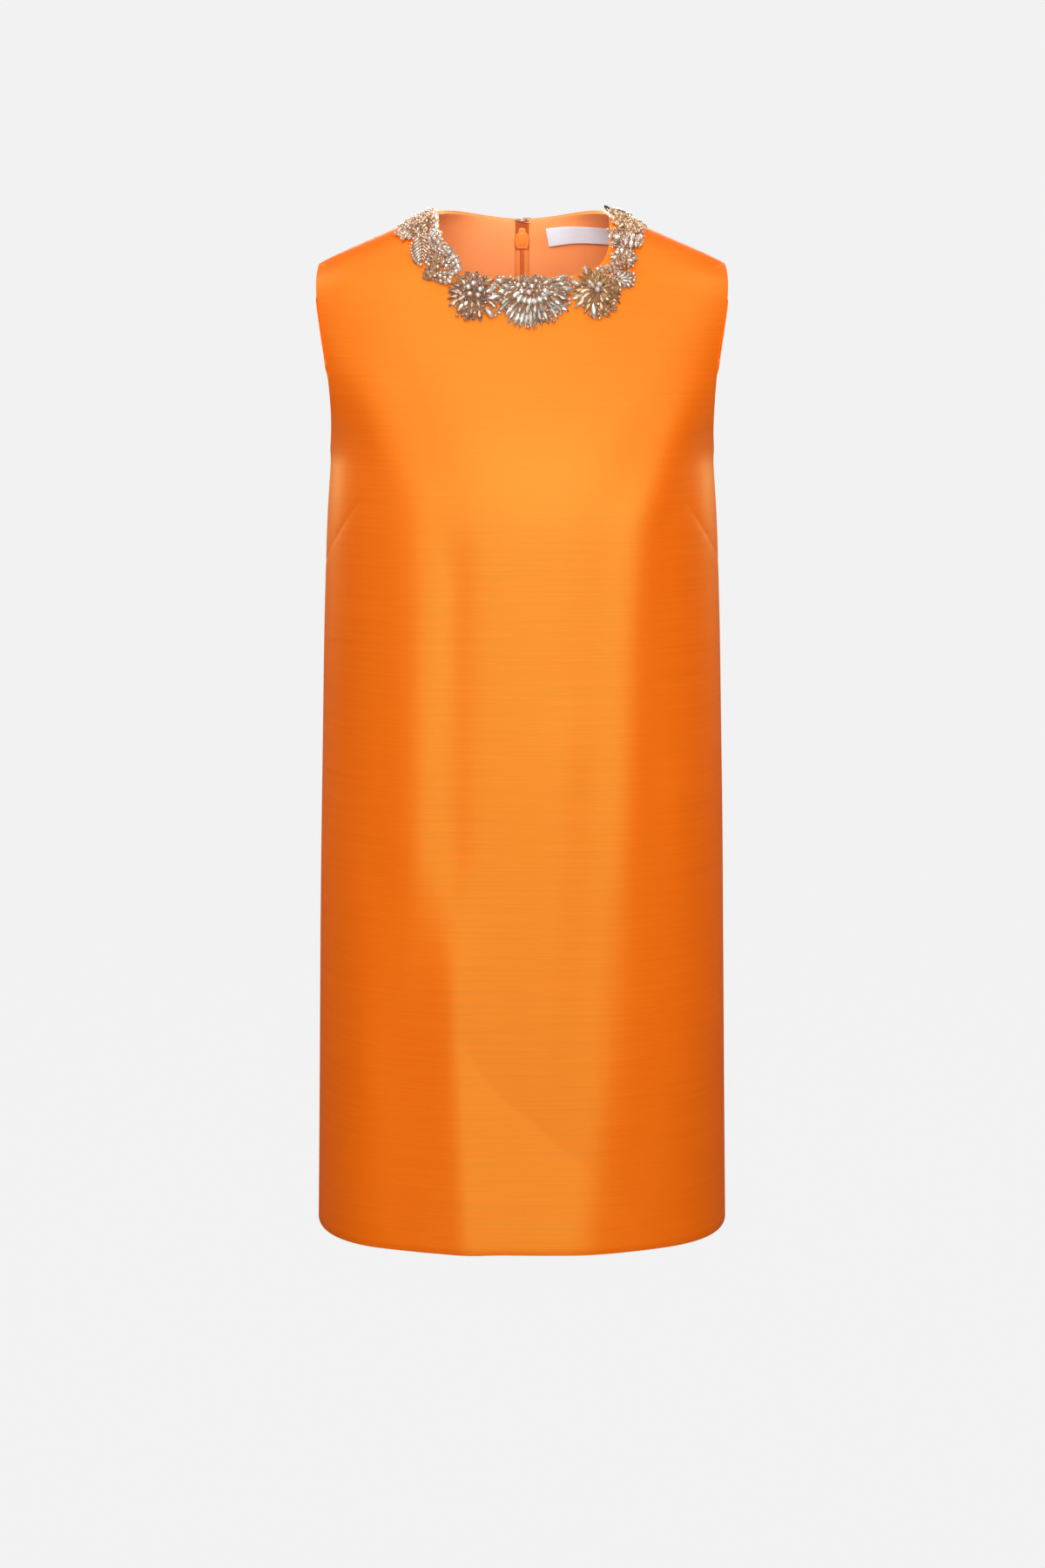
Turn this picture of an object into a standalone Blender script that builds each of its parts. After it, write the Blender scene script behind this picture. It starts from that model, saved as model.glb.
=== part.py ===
"""Sleeveless shift dress with a jewelled neckline, standing open and hollow as when it is worn.

Metres, +Z up, front towards -Y, the wearer's left towards +X. The origin is midway between the high points
of the two shoulders, where the dress is held. Every piece of cloth comes from one form: level sections, each
a squared oval.
"""

import math

import bmesh
import bpy
import numpy as np
from mathutils import Matrix, Vector

MM = 0.001
WELD = 0.001 * MM
NORMAL_STEP = 0.05 * MM
SNAP_STEPS = 8
HALVINGS = 40
SMOOTH_BELOW = math.radians(40)

# Cloth and the room between pieces.
SHELL_WALL = 1.5 * MM
FACING_WALL = 1.0 * MM
TAPE_WALL = 1.0 * MM
LABEL_WALL = 1.0 * MM
SEAM_GAP = 0.4 * MM
LAYER_GAP = 0.3 * MM
LABEL_GAP = 0.5 * MM

# The cut, as heights below the high point of the shoulder.
LENGTH = 930 * MM
NECK_HALF_WIDTH = 77.8 * MM
FRONT_NECK_DROP = 58.8 * MM
FRONT_NECK_SQUARENESS = 4.2
BACK_NECK_DROP = 4 * MM
BACK_NECK_RISE = 3.8 * MM
SHOULDER_DROP = 45.2 * MM
UNDERARM_DROP = 215 * MM

# Level sections of the form below the shoulder, in mm. A squareness of 2 is an ellipse, and more is boxier.
SECTION_COLUMNS = ("drop", "half_width", "front_depth", "back_depth", "squareness")
SECTIONS = (
    (0, 77.8, 47, 60, 2.35),
    (12.2, 108.0, 51, 64, 2.35),
    (27.6, 144.0, 58, 70.5, 2.36),
    (45.2, 181.7, 65, 77.5, 2.37),
    (60, 201, 70.8, 82.5, 2.38),
    (75, 208, 76, 87, 2.39),
    (100, 207, 84.5, 94, 2.40),
    (125, 202, 92.5, 99.5, 2.41),
    (150, 194.5, 100, 103.5, 2.42),
    (175, 184.5, 107, 106.5, 2.43),
    (200, 176.6, 113, 108, 2.44),
    (215, 174.2, 116, 109, 2.45),
    (231, 174.6, 118.5, 109.5, 2.46),
    (260, 176.8, 121.5, 110, 2.48),
    (310, 179.3, 123.5, 111, 2.52),
    (375, 181.7, 125, 113, 2.57),
    (440, 183.4, 127, 116, 2.62),
    (605, 187.5, 132.5, 125, 2.76),
    (774, 190.6, 138.5, 134, 2.85),
    (930, 193.6, 143, 141, 2.92),
)

# The armhole's two edges seen from the front, as half widths of the dress at each height, in mm.
ARMHOLE_COLUMNS = ("drop", "front_edge", "back_edge")
ARMHOLE = (
    (45.2, 181.7, 181.7),
    (60, 183.0, 185.4),
    (75, 182.3, 185.2),
    (100, 178.8, 183.4),
    (125, 174.9, 179.8),
    (150, 171.7, 176.6),
    (175, 170.3, 173.6),
    (200, 171.6, 173.2),
    (215, 174.2, 174.2),
)

# How many mesh rows lie beside each edge of a panel, and how many columns lie in a quarter of the round.
SHOULDER_ROWS = 7
ARMHOLE_ROWS = 11
SIDE_ROWS = 12
SIDE_ROW_GROWTH = 1.3
ARMHOLE_SAMPLES = 400
QUARTER_COLUMNS = 13

# Bust darts, from the side seam up to the point.
DART_SIDE_DROP = 316 * MM
DART_POINT_DROP = 246 * MM
DART_POINT_ANGLE = 0.84
DART_BOW = 10 * MM
DART_GROOVE_RADIUS = 0.7 * MM
DART_POINTS = 14

# Inside the back neck.
ZIP_HALF_WIDTH = 6.2 * MM
FACING_ROWS = 6
ZIP_ROWS = 25
LABEL_START = 22 * MM
LABEL_LENGTH = 60 * MM
LABEL_TOP = 9.5 * MM
LABEL_HEIGHT = 15.5 * MM
LABEL_TILT = 2.5 * MM
LABEL_STEPS = 8
LABEL_ROWS = 2

# The zip's slider, with its body inside the dress and two ears with a pin outside.
SLIDER_DROP = 20 * MM
SLIDER_HEIGHT = 20 * MM
SLIDER_WIDTH = 13 * MM
SLIDER_NECK_WIDTH = 6.5 * MM
SLIDER_CHAMFER = 0.86
SLIDER_FLARE = (0.6, -0.15)
SLIDER_BASE = 0.78
SLIDER_STEPS = 4
SLIDER_THICK = 2.6 * MM
STEM_WIDTH = 2.0 * MM
STEM_HEIGHT = 4.4 * MM
STEM_CLEARANCE = 0.35 * MM
PLATE_WIDTH = 6.4 * MM
PLATE_HEIGHT = 6.6 * MM
PLATE_THICK = 1.0 * MM
EAR_INNER = 1.9 * MM
EAR_THICK = 1.0 * MM
EAR_HALF_HEIGHT = 1.6 * MM
EAR_RIM = 0.5 * MM
OVERLAP = 0.4 * MM
CUT_BEYOND = 2 * MM
ROD_SIDES = 20
PIN_RADIUS = 0.6 * MM
PIN_LIFT = 3.2 * MM
EYE_RADIUS = 1.55 * MM
EYE_BORE_RADIUS = 0.9 * MM
EYE_HALF_WIDTH = 1.55 * MM
PULL_LENGTH = 24 * MM
PULL_TOP_WIDTH = 2.6 * MM
PULL_END_WIDTH = 5.2 * MM
PULL_END_STEPS = 6
PULL_THICK = 1.2 * MM
PULL_REST_GAP = 0.4 * MM

# Hook and eye at the top of the centre back. Levels are above the facing, and the eye's bar lies across
# the hook.
WIRE_RADIUS = 0.45 * MM
WIRE_STEPS = 8
WIRE_LEVEL = 0.85 * MM
BAR_LEVEL = 2.1 * MM
BAR_X = -0.25 * MM
EYE_WIRE_HEIGHT = 4.4 * MM
HOOK_DROP = 4.2 * MM
HOOK_REACH = 8.0 * MM
HOOK_LEG = 5.0 * MM
HOOK_SHANK = 2.9 * MM
HOOK_CURL = 1.25 * MM
HOOK_BILL = 1.2 * MM
CURL_X = 0.9 * MM

# Jewelled motifs, each a low mound of stones on the front panel. The middle is a place seen from the front,
# and the four reaches run from it along the cloth, all in mm. Its outline has this many points, cut in by
# the notch.
MOTIF_COLUMNS = (
    *("name", "x", "drop", "right", "up", "left", "down"),
    *("points", "notch", "middle_height", "edge_height", "finish"),
)
MOTIFS = (
    ("shoulder_cluster_right", -92.5, 12.0, 12.5, 27, 17.5, 24, 11, 0.10, 6.5, 2.4, "clear_stones"),
    ("leaf_motif", -91, 36.0, 7, 15, 7, 15, 1, 0.0, 3.2, 1.6, "clear_stones"),
    ("small_flower_upper", -76.2, 44.6, 6.6, 6.8, 6.6, 7.0, 6, 0.16, 3.6, 1.6, "champagne_stones"),
    ("small_flower_lower", -82.3, 57.4, 6.0, 6.2, 6.2, 6.4, 5, 0.16, 3.4, 1.6, "champagne_stones"),
    ("round_cluster", -69.5, 60.5, 5.4, 5.4, 5.4, 6.0, 6, 0.12, 3.6, 1.8, "clear_stones"),
    ("flower_champagne", -43.9, 70.8, 18.3, 17, 22, 29, 14, 0.18, 6.0, 2.0, "champagne_stones"),
    ("fan_motif", 8, 65.5, 35.5, 8, 31.5, 41, 26, 0.13, 5.0, 1.8, "clear_stones"),
    ("flower_gold", 67.6, 69.0, 20, 17, 22, 29, 16, 0.18, 6.0, 2.0, "gold_stones"),
    ("burst_motif", 93.0, 61.0, 6.5, 8.0, 4.6, 9.5, 8, 0.16, 4.0, 1.8, "clear_stones"),
    ("small_flower_pink", 90.4, 43.8, 11, 9.5, 11, 9, 6, 0.16, 4.0, 1.8, "champagne_stones"),
    ("drop_cluster", 93.5, 28.3, 13, 8, 13.5, 8.5, 9, 0.14, 4.5, 2.0, "clear_stones"),
    ("shoulder_cluster_left", 92.0, 11.0, 18, 26, 16.5, 18.5, 11, 0.10, 7.5, 2.4, "gold_stones"),
)
SECTORS_PER_POINT = 4
FEWEST_SECTORS = 20
MOTIF_RINGS = (0.0, 0.34, 0.7, 1.0)
MOTIF_GAP = 0.4 * MM
RIDGE_SHARE = 0.35

# The crescent of stones that hangs over the right front neck edge: how far out its two edges lie at each
# height, seen from the front, in mm.
CRESCENT_COLUMNS = ("drop", "inner_edge", "outer_edge")
CRESCENT = (
    (11, 74.2, 77.5),
    (15, 73.4, 78.5),
    (20, 72.2, 80.0),
    (27, 69.0, 82.5),
    (33, 64.5, 82.5),
    (39, 59.0, 71.5),
    (45, 55.4, 68.0),
    (51, 54.0, 66.0),
    (55, 55.2, 63.0),
    (58, 58.6, 61.2),
)
CRESCENT_HEIGHT = 3.4 * MM
CRESCENT_EDGE_HEIGHT = 1.4 * MM
CRESCENT_STEPS = 18
CRESCENT_LANES = 4

# name: (red, green, blue), roughness, metallic
FINISHES = {
    "satin_shell": ((0.93, 0.27, 0.03), 0.42, 0.0),
    "lining": ((0.94, 0.33, 0.10), 0.6, 0.0),
    "zip_tape": ((0.90, 0.24, 0.04), 0.7, 0.0),
    "zip_enamel": ((0.88, 0.25, 0.05), 0.35, 0.0),
    "label_cloth": ((0.80, 0.78, 0.82), 0.7, 0.0),
    "silver_wire": ((0.75, 0.75, 0.76), 0.2, 1.0),
    "clear_stones": ((0.80, 0.77, 0.72), 0.1, 0.4),
    "champagne_stones": ((0.62, 0.42, 0.24), 0.15, 0.4),
    "gold_stones": ((0.60, 0.36, 0.10), 0.15, 0.6),
}


# ------------------------------------------------------------------------------------ the form


class Curve:
    """A smooth curve through a table's rows (a natural cubic spline), straight beyond its ends."""

    def __init__(self, at, values):
        self.at = np.array(at, float)
        self.values = np.array(values, float)
        count = len(self.at)
        step = np.diff(self.at)
        slope = np.diff(self.values) / step
        matrix = np.eye(count)
        right = np.zeros(count)
        for row in range(1, count - 1):
            matrix[row, row - 1 : row + 2] = step[row - 1], 2 * (step[row - 1] + step[row]), step[row]
            right[row] = 6 * (slope[row] - slope[row - 1])
        self.bend = np.linalg.solve(matrix, right)

    def __call__(self, where):
        inside = min(max(where, self.at[0]), self.at[-1])
        i = int(min(max(np.searchsorted(self.at, inside) - 1, 0), len(self.at) - 2))
        step = self.at[i + 1] - self.at[i]
        low = (self.at[i + 1] - inside) / step
        high = (inside - self.at[i]) / step
        value = low * self.values[i] + high * self.values[i + 1]
        value += ((low**3 - low) * self.bend[i] + (high**3 - high) * self.bend[i + 1]) * step**2 / 6
        slope = (self.values[i + 1] - self.values[i]) / step
        slope += ((3 * high**2 - 1) * self.bend[i + 1] - (3 * low**2 - 1) * self.bend[i]) * step / 6
        return float(value + slope * (where - inside))


def table_curves(columns, rows):
    """One curve over the first column for each other column, in metres except for squareness."""
    by_name = {}
    for place, name in enumerate(columns[1:], start=1):
        unit = 1.0 if name == "squareness" else MM
        by_name[name] = Curve([row[0] * MM for row in rows], [row[place] * unit for row in rows])
    return by_name


FORM = table_curves(SECTION_COLUMNS, SECTIONS)
EDGES = table_curves(ARMHOLE_COLUMNS, ARMHOLE)


def section(drop, side):
    """Half width, depth and squareness of the form at a height, on the front (side -1) or the back (+1)."""
    depth = FORM["front_depth" if side < 0 else "back_depth"](drop)
    return FORM["half_width"](drop), depth, FORM["squareness"](drop)


def on_form(angle, drop, side):
    """The form's point on the +X half, at an angle from the centre line (0) to the side (a quarter turn)."""
    half_width, depth, squareness = section(drop, side)
    power = 2 / squareness
    across = half_width * max(math.sin(angle), 0.0) ** power
    forward = SEAM_GAP / 2 + (depth - SEAM_GAP / 2) * max(math.cos(angle), 0.0) ** power
    return Vector((across, side * forward, -drop))


def angle_at(across, drop, side):
    """The angle at which the form's section at this height is that far across."""
    half_width, _, squareness = section(drop, side)
    return math.asin(min(across / half_width, 1.0) ** (squareness / 2))


def outside(point):
    """How far out of the form a point is, as a number that is 0 on its surface."""
    half_width, depth, squareness = section(-point.z, -1 if point.y < 0 else 1)
    return (abs(point.x) / half_width) ** squareness + (abs(point.y) / depth) ** squareness - 1


def normal_at(point):
    """The form's outward direction at a point, and how fast outside() grows along it."""
    grow = Vector()
    for axis in range(3):
        ahead = point.copy()
        behind = point.copy()
        ahead[axis] += NORMAL_STEP
        behind[axis] -= NORMAL_STEP
        grow[axis] = (outside(ahead) - outside(behind)) / (2 * NORMAL_STEP)
    return grow.normalized(), grow.length


def snapped(point):
    """The nearest point of the form, near enough for a small motif."""
    for _ in range(SNAP_STEPS):
        normal, rate = normal_at(point)
        point = point - normal * (outside(point) / rate)
    return point


def front_point(across, drop):
    """The point of the front seen at this place from ahead."""
    point = on_form(angle_at(abs(across), drop, -1), drop, -1)
    return Vector((math.copysign(point.x, across), point.y, point.z))


# ------------------------------------------------------------------------------------ panel grids


def front_neck_drop(angle):
    """How far down the front neckline crosses the form at an angle, found by halving."""
    high, low = 0.0, FRONT_NECK_DROP
    for _ in range(HALVINGS):
        middle = (high + low) / 2
        open_here = 1 - (middle / FRONT_NECK_DROP) ** FRONT_NECK_SQUARENESS
        if NECK_HALF_WIDTH * open_here ** (1 / FRONT_NECK_SQUARENESS) > on_form(angle, middle, -1).x:
            high = middle
        else:
            low = middle
    return (high + low) / 2


def back_neck_drop(angle):
    """How far down the back neckline lies: it rises behind the shoulder seam, then dips to the zip."""
    return BACK_NECK_DROP * math.cos(angle) ** 2 - BACK_NECK_RISE * math.sin(2 * angle)


def edge_angle(drop, side):
    """The angle of a panel's side edge: the armhole between shoulder point and underarm, or else the seam."""
    if not SHOULDER_DROP < drop < UNDERARM_DROP:
        return math.pi / 2
    return angle_at(EDGES["front_edge" if side < 0 else "back_edge"](drop), drop, side)


def armhole_drops(side):
    """Heights that part the armhole's edge into equal lengths."""
    fine = np.linspace(SHOULDER_DROP, UNDERARM_DROP, ARMHOLE_SAMPLES)
    points = [on_form(edge_angle(drop, side), drop, side) for drop in fine]
    lengths = [0.0] + [(b - a).length for a, b in zip(points, points[1:])]
    along = np.cumsum(lengths)
    return list(np.interp(np.linspace(0, along[-1], ARMHOLE_ROWS + 1), along, fine))


def row_drops(side):
    """For each mesh row, its height at the centre line and at the panel's side edge."""
    neck = FRONT_NECK_DROP if side < 0 else BACK_NECK_DROP
    at_edge = [SHOULDER_DROP * row / SHOULDER_ROWS for row in range(SHOULDER_ROWS)]
    at_edge += armhole_drops(side)
    upper = len(at_edge) - 1
    at_centre = [neck + (UNDERARM_DROP - neck) * row / upper for row in range(upper + 1)]
    for row in range(1, SIDE_ROWS + 1):
        drop = UNDERARM_DROP + (LENGTH - UNDERARM_DROP) * (row / SIDE_ROWS) ** SIDE_ROW_GROWTH
        at_edge.append(drop)
        at_centre.append(drop)
    return list(zip(at_centre, at_edge))


def half_grid(side):
    """Rows of points over half a panel, from its neckline to the hem and from the centre line to its edge.

    Each row rises to its edge as the front neckline does. What else the neckline needs fades towards the
    underarm.
    """
    shares = [column / QUARTER_COLUMNS for column in range(QUARTER_COLUMNS + 1)]
    angles = [share * math.pi / 2 for share in shares]
    front_necks = [front_neck_drop(angle) for angle in angles]
    rises = [1 - neck / FRONT_NECK_DROP for neck in front_necks]
    rises[0], rises[-1] = 0.0, 1.0
    necks = front_necks if side < 0 else [back_neck_drop(angle) for angle in angles]
    upper = SHOULDER_ROWS + ARMHOLE_ROWS
    grid = []
    for number, (centre, edge) in enumerate(row_drops(side)):
        last = edge_angle(edge, side)
        fade = max(0.0, 1 - number / upper)
        row = []
        for share, rise, neck in zip(shares, rises, necks):
            drop = centre + (edge - centre) * rise
            if 0 < share < 1:
                drop += fade * (neck - necks[0] * (1 - rise))
            row.append(on_form(share * last, drop, side))
        grid.append(row)
    return grid


def back_half_grid():
    """The back's half, with a column beside the zip and the centre seam's gap."""
    grid = half_grid(1)
    for row in grid:
        centre = row[0].copy()
        drop = -row[0].z
        beside_zip = on_form(angle_at(ZIP_HALF_WIDTH, drop, 1), drop, 1)
        row[0] = Vector((SEAM_GAP / 2, centre.y, centre.z))
        row.insert(1, beside_zip)
    return grid


def mirrored(grid):
    """The same points on the other side of the centre line."""
    return [[Vector((-point.x, point.y, point.z)) for point in row] for row in grid]


def inward(grid, depth):
    """A grid's points moved into the dress along the form's normals."""
    return [[point - normal_at(point)[0] * depth for point in row] for row in grid]


# ------------------------------------------------------------------------------------ making objects


def finish_of(name):
    """The material of that name, made once."""
    found = bpy.data.materials.get(name)
    if found:
        return found
    colour, roughness, metallic = FINISHES[name]
    material = bpy.data.materials.new(name)
    material.use_nodes = True
    shader = material.node_tree.nodes["Principled BSDF"]
    shader.inputs["Base Color"].default_value = (*colour, 1)
    shader.inputs["Roughness"].default_value = roughness
    shader.inputs["Metallic"].default_value = metallic
    material.diffuse_color = (*colour, 1)
    return material


def add_object(name, mesh, finish, collection):
    """A mesh as a named object with its material, in a collection."""
    obj = bpy.data.objects.new(name, mesh)
    collection.objects.link(obj)
    if finish:
        mesh.materials.append(finish_of(finish))
    return obj


def mesh_from(name, points, faces):
    """A mesh of points and faces, smooth but for its sharp edges."""
    mesh = bpy.data.meshes.new(name)
    build = bmesh.new()
    corners = [build.verts.new(point) for point in points]
    for face in faces:
        build.faces.new([corners[i] for i in face])
    if all(edge.is_manifold for edge in build.edges):
        bmesh.ops.recalc_face_normals(build, faces=build.faces)
    build.normal_update()
    build.to_mesh(mesh)
    build.free()
    mesh.shade_smooth()
    mesh.set_sharp_from_angle(angle=SMOOTH_BELOW)
    return mesh


def outward_faces(grid):
    """The grid's points in one list and its quads, each turned to face away from the dress's middle."""
    points = [point for row in grid for point in row]
    across = len(grid[0])
    faces = []
    for row in range(len(grid) - 1):
        for column in range(across - 1):
            first = row * across + column
            faces.append((first, first + 1, first + across + 1, first + across))
    a, b, c, _ = (points[i] for i in faces[len(faces) // 2])
    if (b - a).cross(c - b).dot(normal_at(a)[0]) < 0:
        faces = [tuple(reversed(face)) for face in faces]
    return points, faces


def cloth(name, grid, wall, finish, collection):
    """A cloth piece: the grid is its outer surface, and Solidify gives it its wall on the inside."""
    points, faces = outward_faces(grid)
    obj = add_object(name, mesh_from(name, points, faces), finish, collection)
    solidify = obj.modifiers.new("wall", "SOLIDIFY")
    solidify.thickness = wall
    solidify.offset = -1
    solidify.use_rim = True
    return obj


def combine(obj, other, operation):
    """Joins a helper's shape to the object, or cuts it away, and hides the helper."""
    boolean = obj.modifiers.new(other.name, "BOOLEAN")
    boolean.operation = operation
    boolean.object = other
    boolean.solver = "EXACT"
    other.hide_render = True
    other.display_type = "WIRE"


def box(name, low, high, place, finish, collection):
    """A box between two corners, in a place's own axes."""
    build = bmesh.new()
    bmesh.ops.create_cube(build, size=1)
    size = Vector(high) - Vector(low)
    bmesh.ops.scale(build, vec=size, verts=build.verts)
    bmesh.ops.translate(build, vec=(Vector(low) + Vector(high)) / 2, verts=build.verts)
    mesh = bpy.data.meshes.new(name)
    build.to_mesh(mesh)
    build.free()
    obj = add_object(name, mesh, finish, collection)
    obj.matrix_world = place
    return obj


def rod(name, radius, half_length, centre, place, finish, collection):
    """A round rod along a place's X axis."""
    build = bmesh.new()
    bmesh.ops.create_cone(
        build, cap_ends=True, segments=ROD_SIDES, radius1=radius, radius2=radius, depth=2 * half_length
    )
    bmesh.ops.rotate(build, matrix=Matrix.Rotation(math.pi / 2, 3, "Y"), verts=build.verts)
    bmesh.ops.translate(build, vec=centre, verts=build.verts)
    mesh = bpy.data.meshes.new(name)
    build.to_mesh(mesh)
    build.free()
    obj = add_object(name, mesh, finish, collection)
    obj.matrix_world = place
    return obj


def wire(name, points, radius, place, finish, collection):
    """A round wire along a route, made a mesh."""
    curve = bpy.data.curves.new(name + "_route", "CURVE")
    curve.dimensions = "3D"
    curve.bevel_depth = radius
    curve.bevel_resolution = 2
    curve.use_fill_caps = True
    spline = curve.splines.new("POLY")
    spline.points.add(len(points) - 1)
    for slot, point in zip(spline.points, points):
        slot.co = (*point, 1)
    obj = add_object(name, mesh_of_curve(curve, collection), finish, collection)
    obj.matrix_world = place
    return obj


# ------------------------------------------------------------------------------------ the dress


def front_panel(parts, helpers):
    """One front, shoulder to hem, with a dart sewn in from each side seam to the bust."""
    right_half = half_grid(-1)
    left_half = mirrored(right_half)
    whole = [list(reversed(left))[:-1] + right for left, right in zip(left_half, right_half)]
    panel = cloth("front_panel", whole, SHELL_WALL, "satin_shell", parts)
    for sign in (-1, 1):
        combine(panel, dart_groove(sign, helpers), "DIFFERENCE")


def dart_groove(sign, helpers):
    """The cutter for a dart's sewn line: a thin wire on the cloth's outer surface."""
    seam = on_form(math.pi / 2, DART_SIDE_DROP, -1)
    route = [(sign * seam.x, seam.y + CUT_BEYOND, seam.z)]
    for step in range(DART_POINTS):
        share = step / (DART_POINTS - 1)
        angle = math.pi / 2 + (DART_POINT_ANGLE - math.pi / 2) * share
        drop = DART_SIDE_DROP + (DART_POINT_DROP - DART_SIDE_DROP) * share
        drop += DART_BOW * math.sin(math.pi * share)
        point = on_form(angle, drop, -1)
        route.append((sign * point.x, point.y, point.z))
    side = "left" if sign > 0 else "right"
    return wire("dart_groove_" + side, route, DART_GROOVE_RADIUS, Matrix(), None, helpers)


def back_panels(parts):
    """Two backs that meet at the centre seam."""
    grid = back_half_grid()
    left = cloth("back_panel_left", grid, SHELL_WALL, "satin_shell", parts)
    right = cloth("back_panel_right", mirrored(grid), SHELL_WALL, "satin_shell", parts)
    return left, right


def back_facings(parts):
    """The lining yoke inside the back neck, in two halves beside the zip."""
    rows = [row[1:] for row in back_half_grid()[: FACING_ROWS + 1]]
    for row in rows:
        row[0] = row[0] + (row[1] - row[0]).normalized() * SEAM_GAP
    grid = inward(rows, SHELL_WALL + LAYER_GAP)
    cloth("back_facing_left", grid, FACING_WALL, "lining", parts)
    cloth("back_facing_right", mirrored(grid), FACING_WALL, "lining", parts)


def zip_tapes(parts):
    """The zip's two woven tapes, inside the centre back from the neck down past the hips."""
    rows = [row[:2] for row in back_half_grid()[: ZIP_ROWS + 1]]
    grid = inward(rows, SHELL_WALL + LAYER_GAP)
    left = cloth("zip_tape_left", grid, TAPE_WALL, "zip_tape", parts)
    right = cloth("zip_tape_right", mirrored(grid), TAPE_WALL, "zip_tape", parts)
    return left, right


def neck_label(parts):
    """A bare woven label on the back facing, on the wearer's left of the zip."""
    depth = SHELL_WALL + LAYER_GAP + FACING_WALL + LABEL_GAP
    grid = []
    for level in range(LABEL_ROWS + 1):
        drop = LABEL_TOP + LABEL_HEIGHT * level / LABEL_ROWS
        row = []
        point = on_form(angle_at(LABEL_START, drop, 1), drop, 1)
        for step in range(LABEL_STEPS + 1):
            normal, _ = normal_at(point)
            row.append(point - normal * depth)
            ahead = normal.cross(Vector((0, 0, 1))).normalized()
            rise = Vector((0, 0, LABEL_TILT / LABEL_STEPS * (1 - 2 * step / LABEL_STEPS)))
            point = snapped(point + ahead * (LABEL_LENGTH / LABEL_STEPS) + rise)
        grid.append(row)
    cloth("neck_label", grid, LABEL_WALL, "label_cloth", parts)


def back_place(drop):
    """Axes on the centre back's outer surface: X across, Y out of the dress, Z up along the cloth."""
    point = on_form(0, drop, 1)
    out, _ = normal_at(point)
    out = Vector((0, out.y, out.z)).normalized()
    across = Vector((1, 0, 0))
    up = across.cross(out)
    place = Matrix((across, out, up)).transposed().to_4x4()
    place.translation = (0, point.y, point.z)
    return place


def slider_outline():
    """The slider body's outline: a shield with a narrow top, wide shoulders and a flat base."""
    half_height = SLIDER_HEIGHT / 2
    half_width = SLIDER_WIDTH / 2
    top = SLIDER_NECK_WIDTH / 2
    right = [(top / 2, half_height), (top, half_height * SLIDER_CHAMFER)]
    for step in range(SLIDER_STEPS + 1):
        share = step / SLIDER_STEPS
        width = top + (half_width - top) * math.sin(share * math.pi / 2)
        height = SLIDER_FLARE[0] + (SLIDER_FLARE[1] - SLIDER_FLARE[0]) * share
        right.append((width, half_height * height))
    right.append((half_width * SLIDER_BASE, -half_height))
    return right + [(-x, z) for x, z in reversed(right)]


def plate(name, outline, low, high, place, finish, collection):
    """A flat plate between two levels along a place's Y axis, from an outline across (X) and up (Z) it."""
    curve = bpy.data.curves.new(name + "_outline", "CURVE")
    curve.dimensions = "2D"
    curve.fill_mode = "BOTH"
    curve.extrude = (high - low) / 2
    spline = curve.splines.new("POLY")
    spline.points.add(len(outline) - 1)
    for slot, (across, up) in zip(spline.points, outline):
        slot.co = (across, up, 0, 1)
    spline.use_cyclic_u = True
    standing = Matrix.Translation((0, (low + high) / 2, 0)) @ Matrix.Rotation(math.pi / 2, 4, "X")
    mesh = mesh_of_curve(curve, collection)
    mesh.transform(standing)
    obj = add_object(name, mesh, finish, collection)
    obj.matrix_world = place
    return obj


def mesh_of_curve(curve, collection):
    """The curve's solid as a mesh, with its caps welded on."""
    helper = bpy.data.objects.new(curve.name, curve)
    collection.objects.link(helper)
    bpy.context.view_layer.update()
    graph = bpy.context.evaluated_depsgraph_get()
    mesh = bpy.data.meshes.new_from_object(helper.evaluated_get(graph))
    build = bmesh.new()
    build.from_mesh(mesh)
    bmesh.ops.remove_doubles(build, verts=build.verts, dist=WELD)
    bmesh.ops.recalc_face_normals(build, faces=build.faces)
    build.to_mesh(mesh)
    build.free()
    bpy.data.objects.remove(helper)
    return mesh


def zip_slider(parts, helpers, cloths):
    """The slider: a body inside, a stem through the seam, and a plate with two ears and a pin outside."""
    place = back_place(SLIDER_DROP)
    inner = -(SHELL_WALL + LAYER_GAP + TAPE_WALL + LAYER_GAP)
    outer = LAYER_GAP
    body = plate("zip_slider", slider_outline(), inner - SLIDER_THICK, inner, place, "zip_enamel", parts)
    half_stem, tall_stem = STEM_WIDTH / 2, STEM_HEIGHT / 2
    half_plate, tall_plate = PLATE_WIDTH / 2, PLATE_HEIGHT / 2
    ear_top = PIN_LIFT + PIN_RADIUS + EAR_RIM
    shapes = {
        "stem": ((-half_stem, inner - OVERLAP, -tall_stem), (half_stem, outer + OVERLAP, tall_stem)),
        "plate": ((-half_plate, outer, -tall_plate), (half_plate, outer + PLATE_THICK, tall_plate)),
    }
    for side, near in (("right", -EAR_INNER - EAR_THICK), ("left", EAR_INNER)):
        far = near + EAR_THICK
        shapes["ear_" + side] = ((near, outer + OVERLAP, -EAR_HALF_HEIGHT), (far, ear_top, EAR_HALF_HEIGHT))
    for name, (low, high) in shapes.items():
        combine(body, box("slider_" + name, low, high, place, None, helpers), "UNION")
    pin_reach = EAR_INNER + EAR_THICK / 2
    pin = rod("slider_pin", PIN_RADIUS, pin_reach, (0, PIN_LIFT, 0), place, None, helpers)
    combine(body, pin, "UNION")
    room = half_stem + STEM_CLEARANCE
    tall_room = tall_stem + STEM_CLEARANCE
    low = (-room, inner - CUT_BEYOND, -tall_room)
    high = (room, outer + CUT_BEYOND, tall_room)
    slot = box("stem_slot", low, high, place, None, helpers)
    for piece in cloths:
        combine(piece, slot, "DIFFERENCE")


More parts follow.
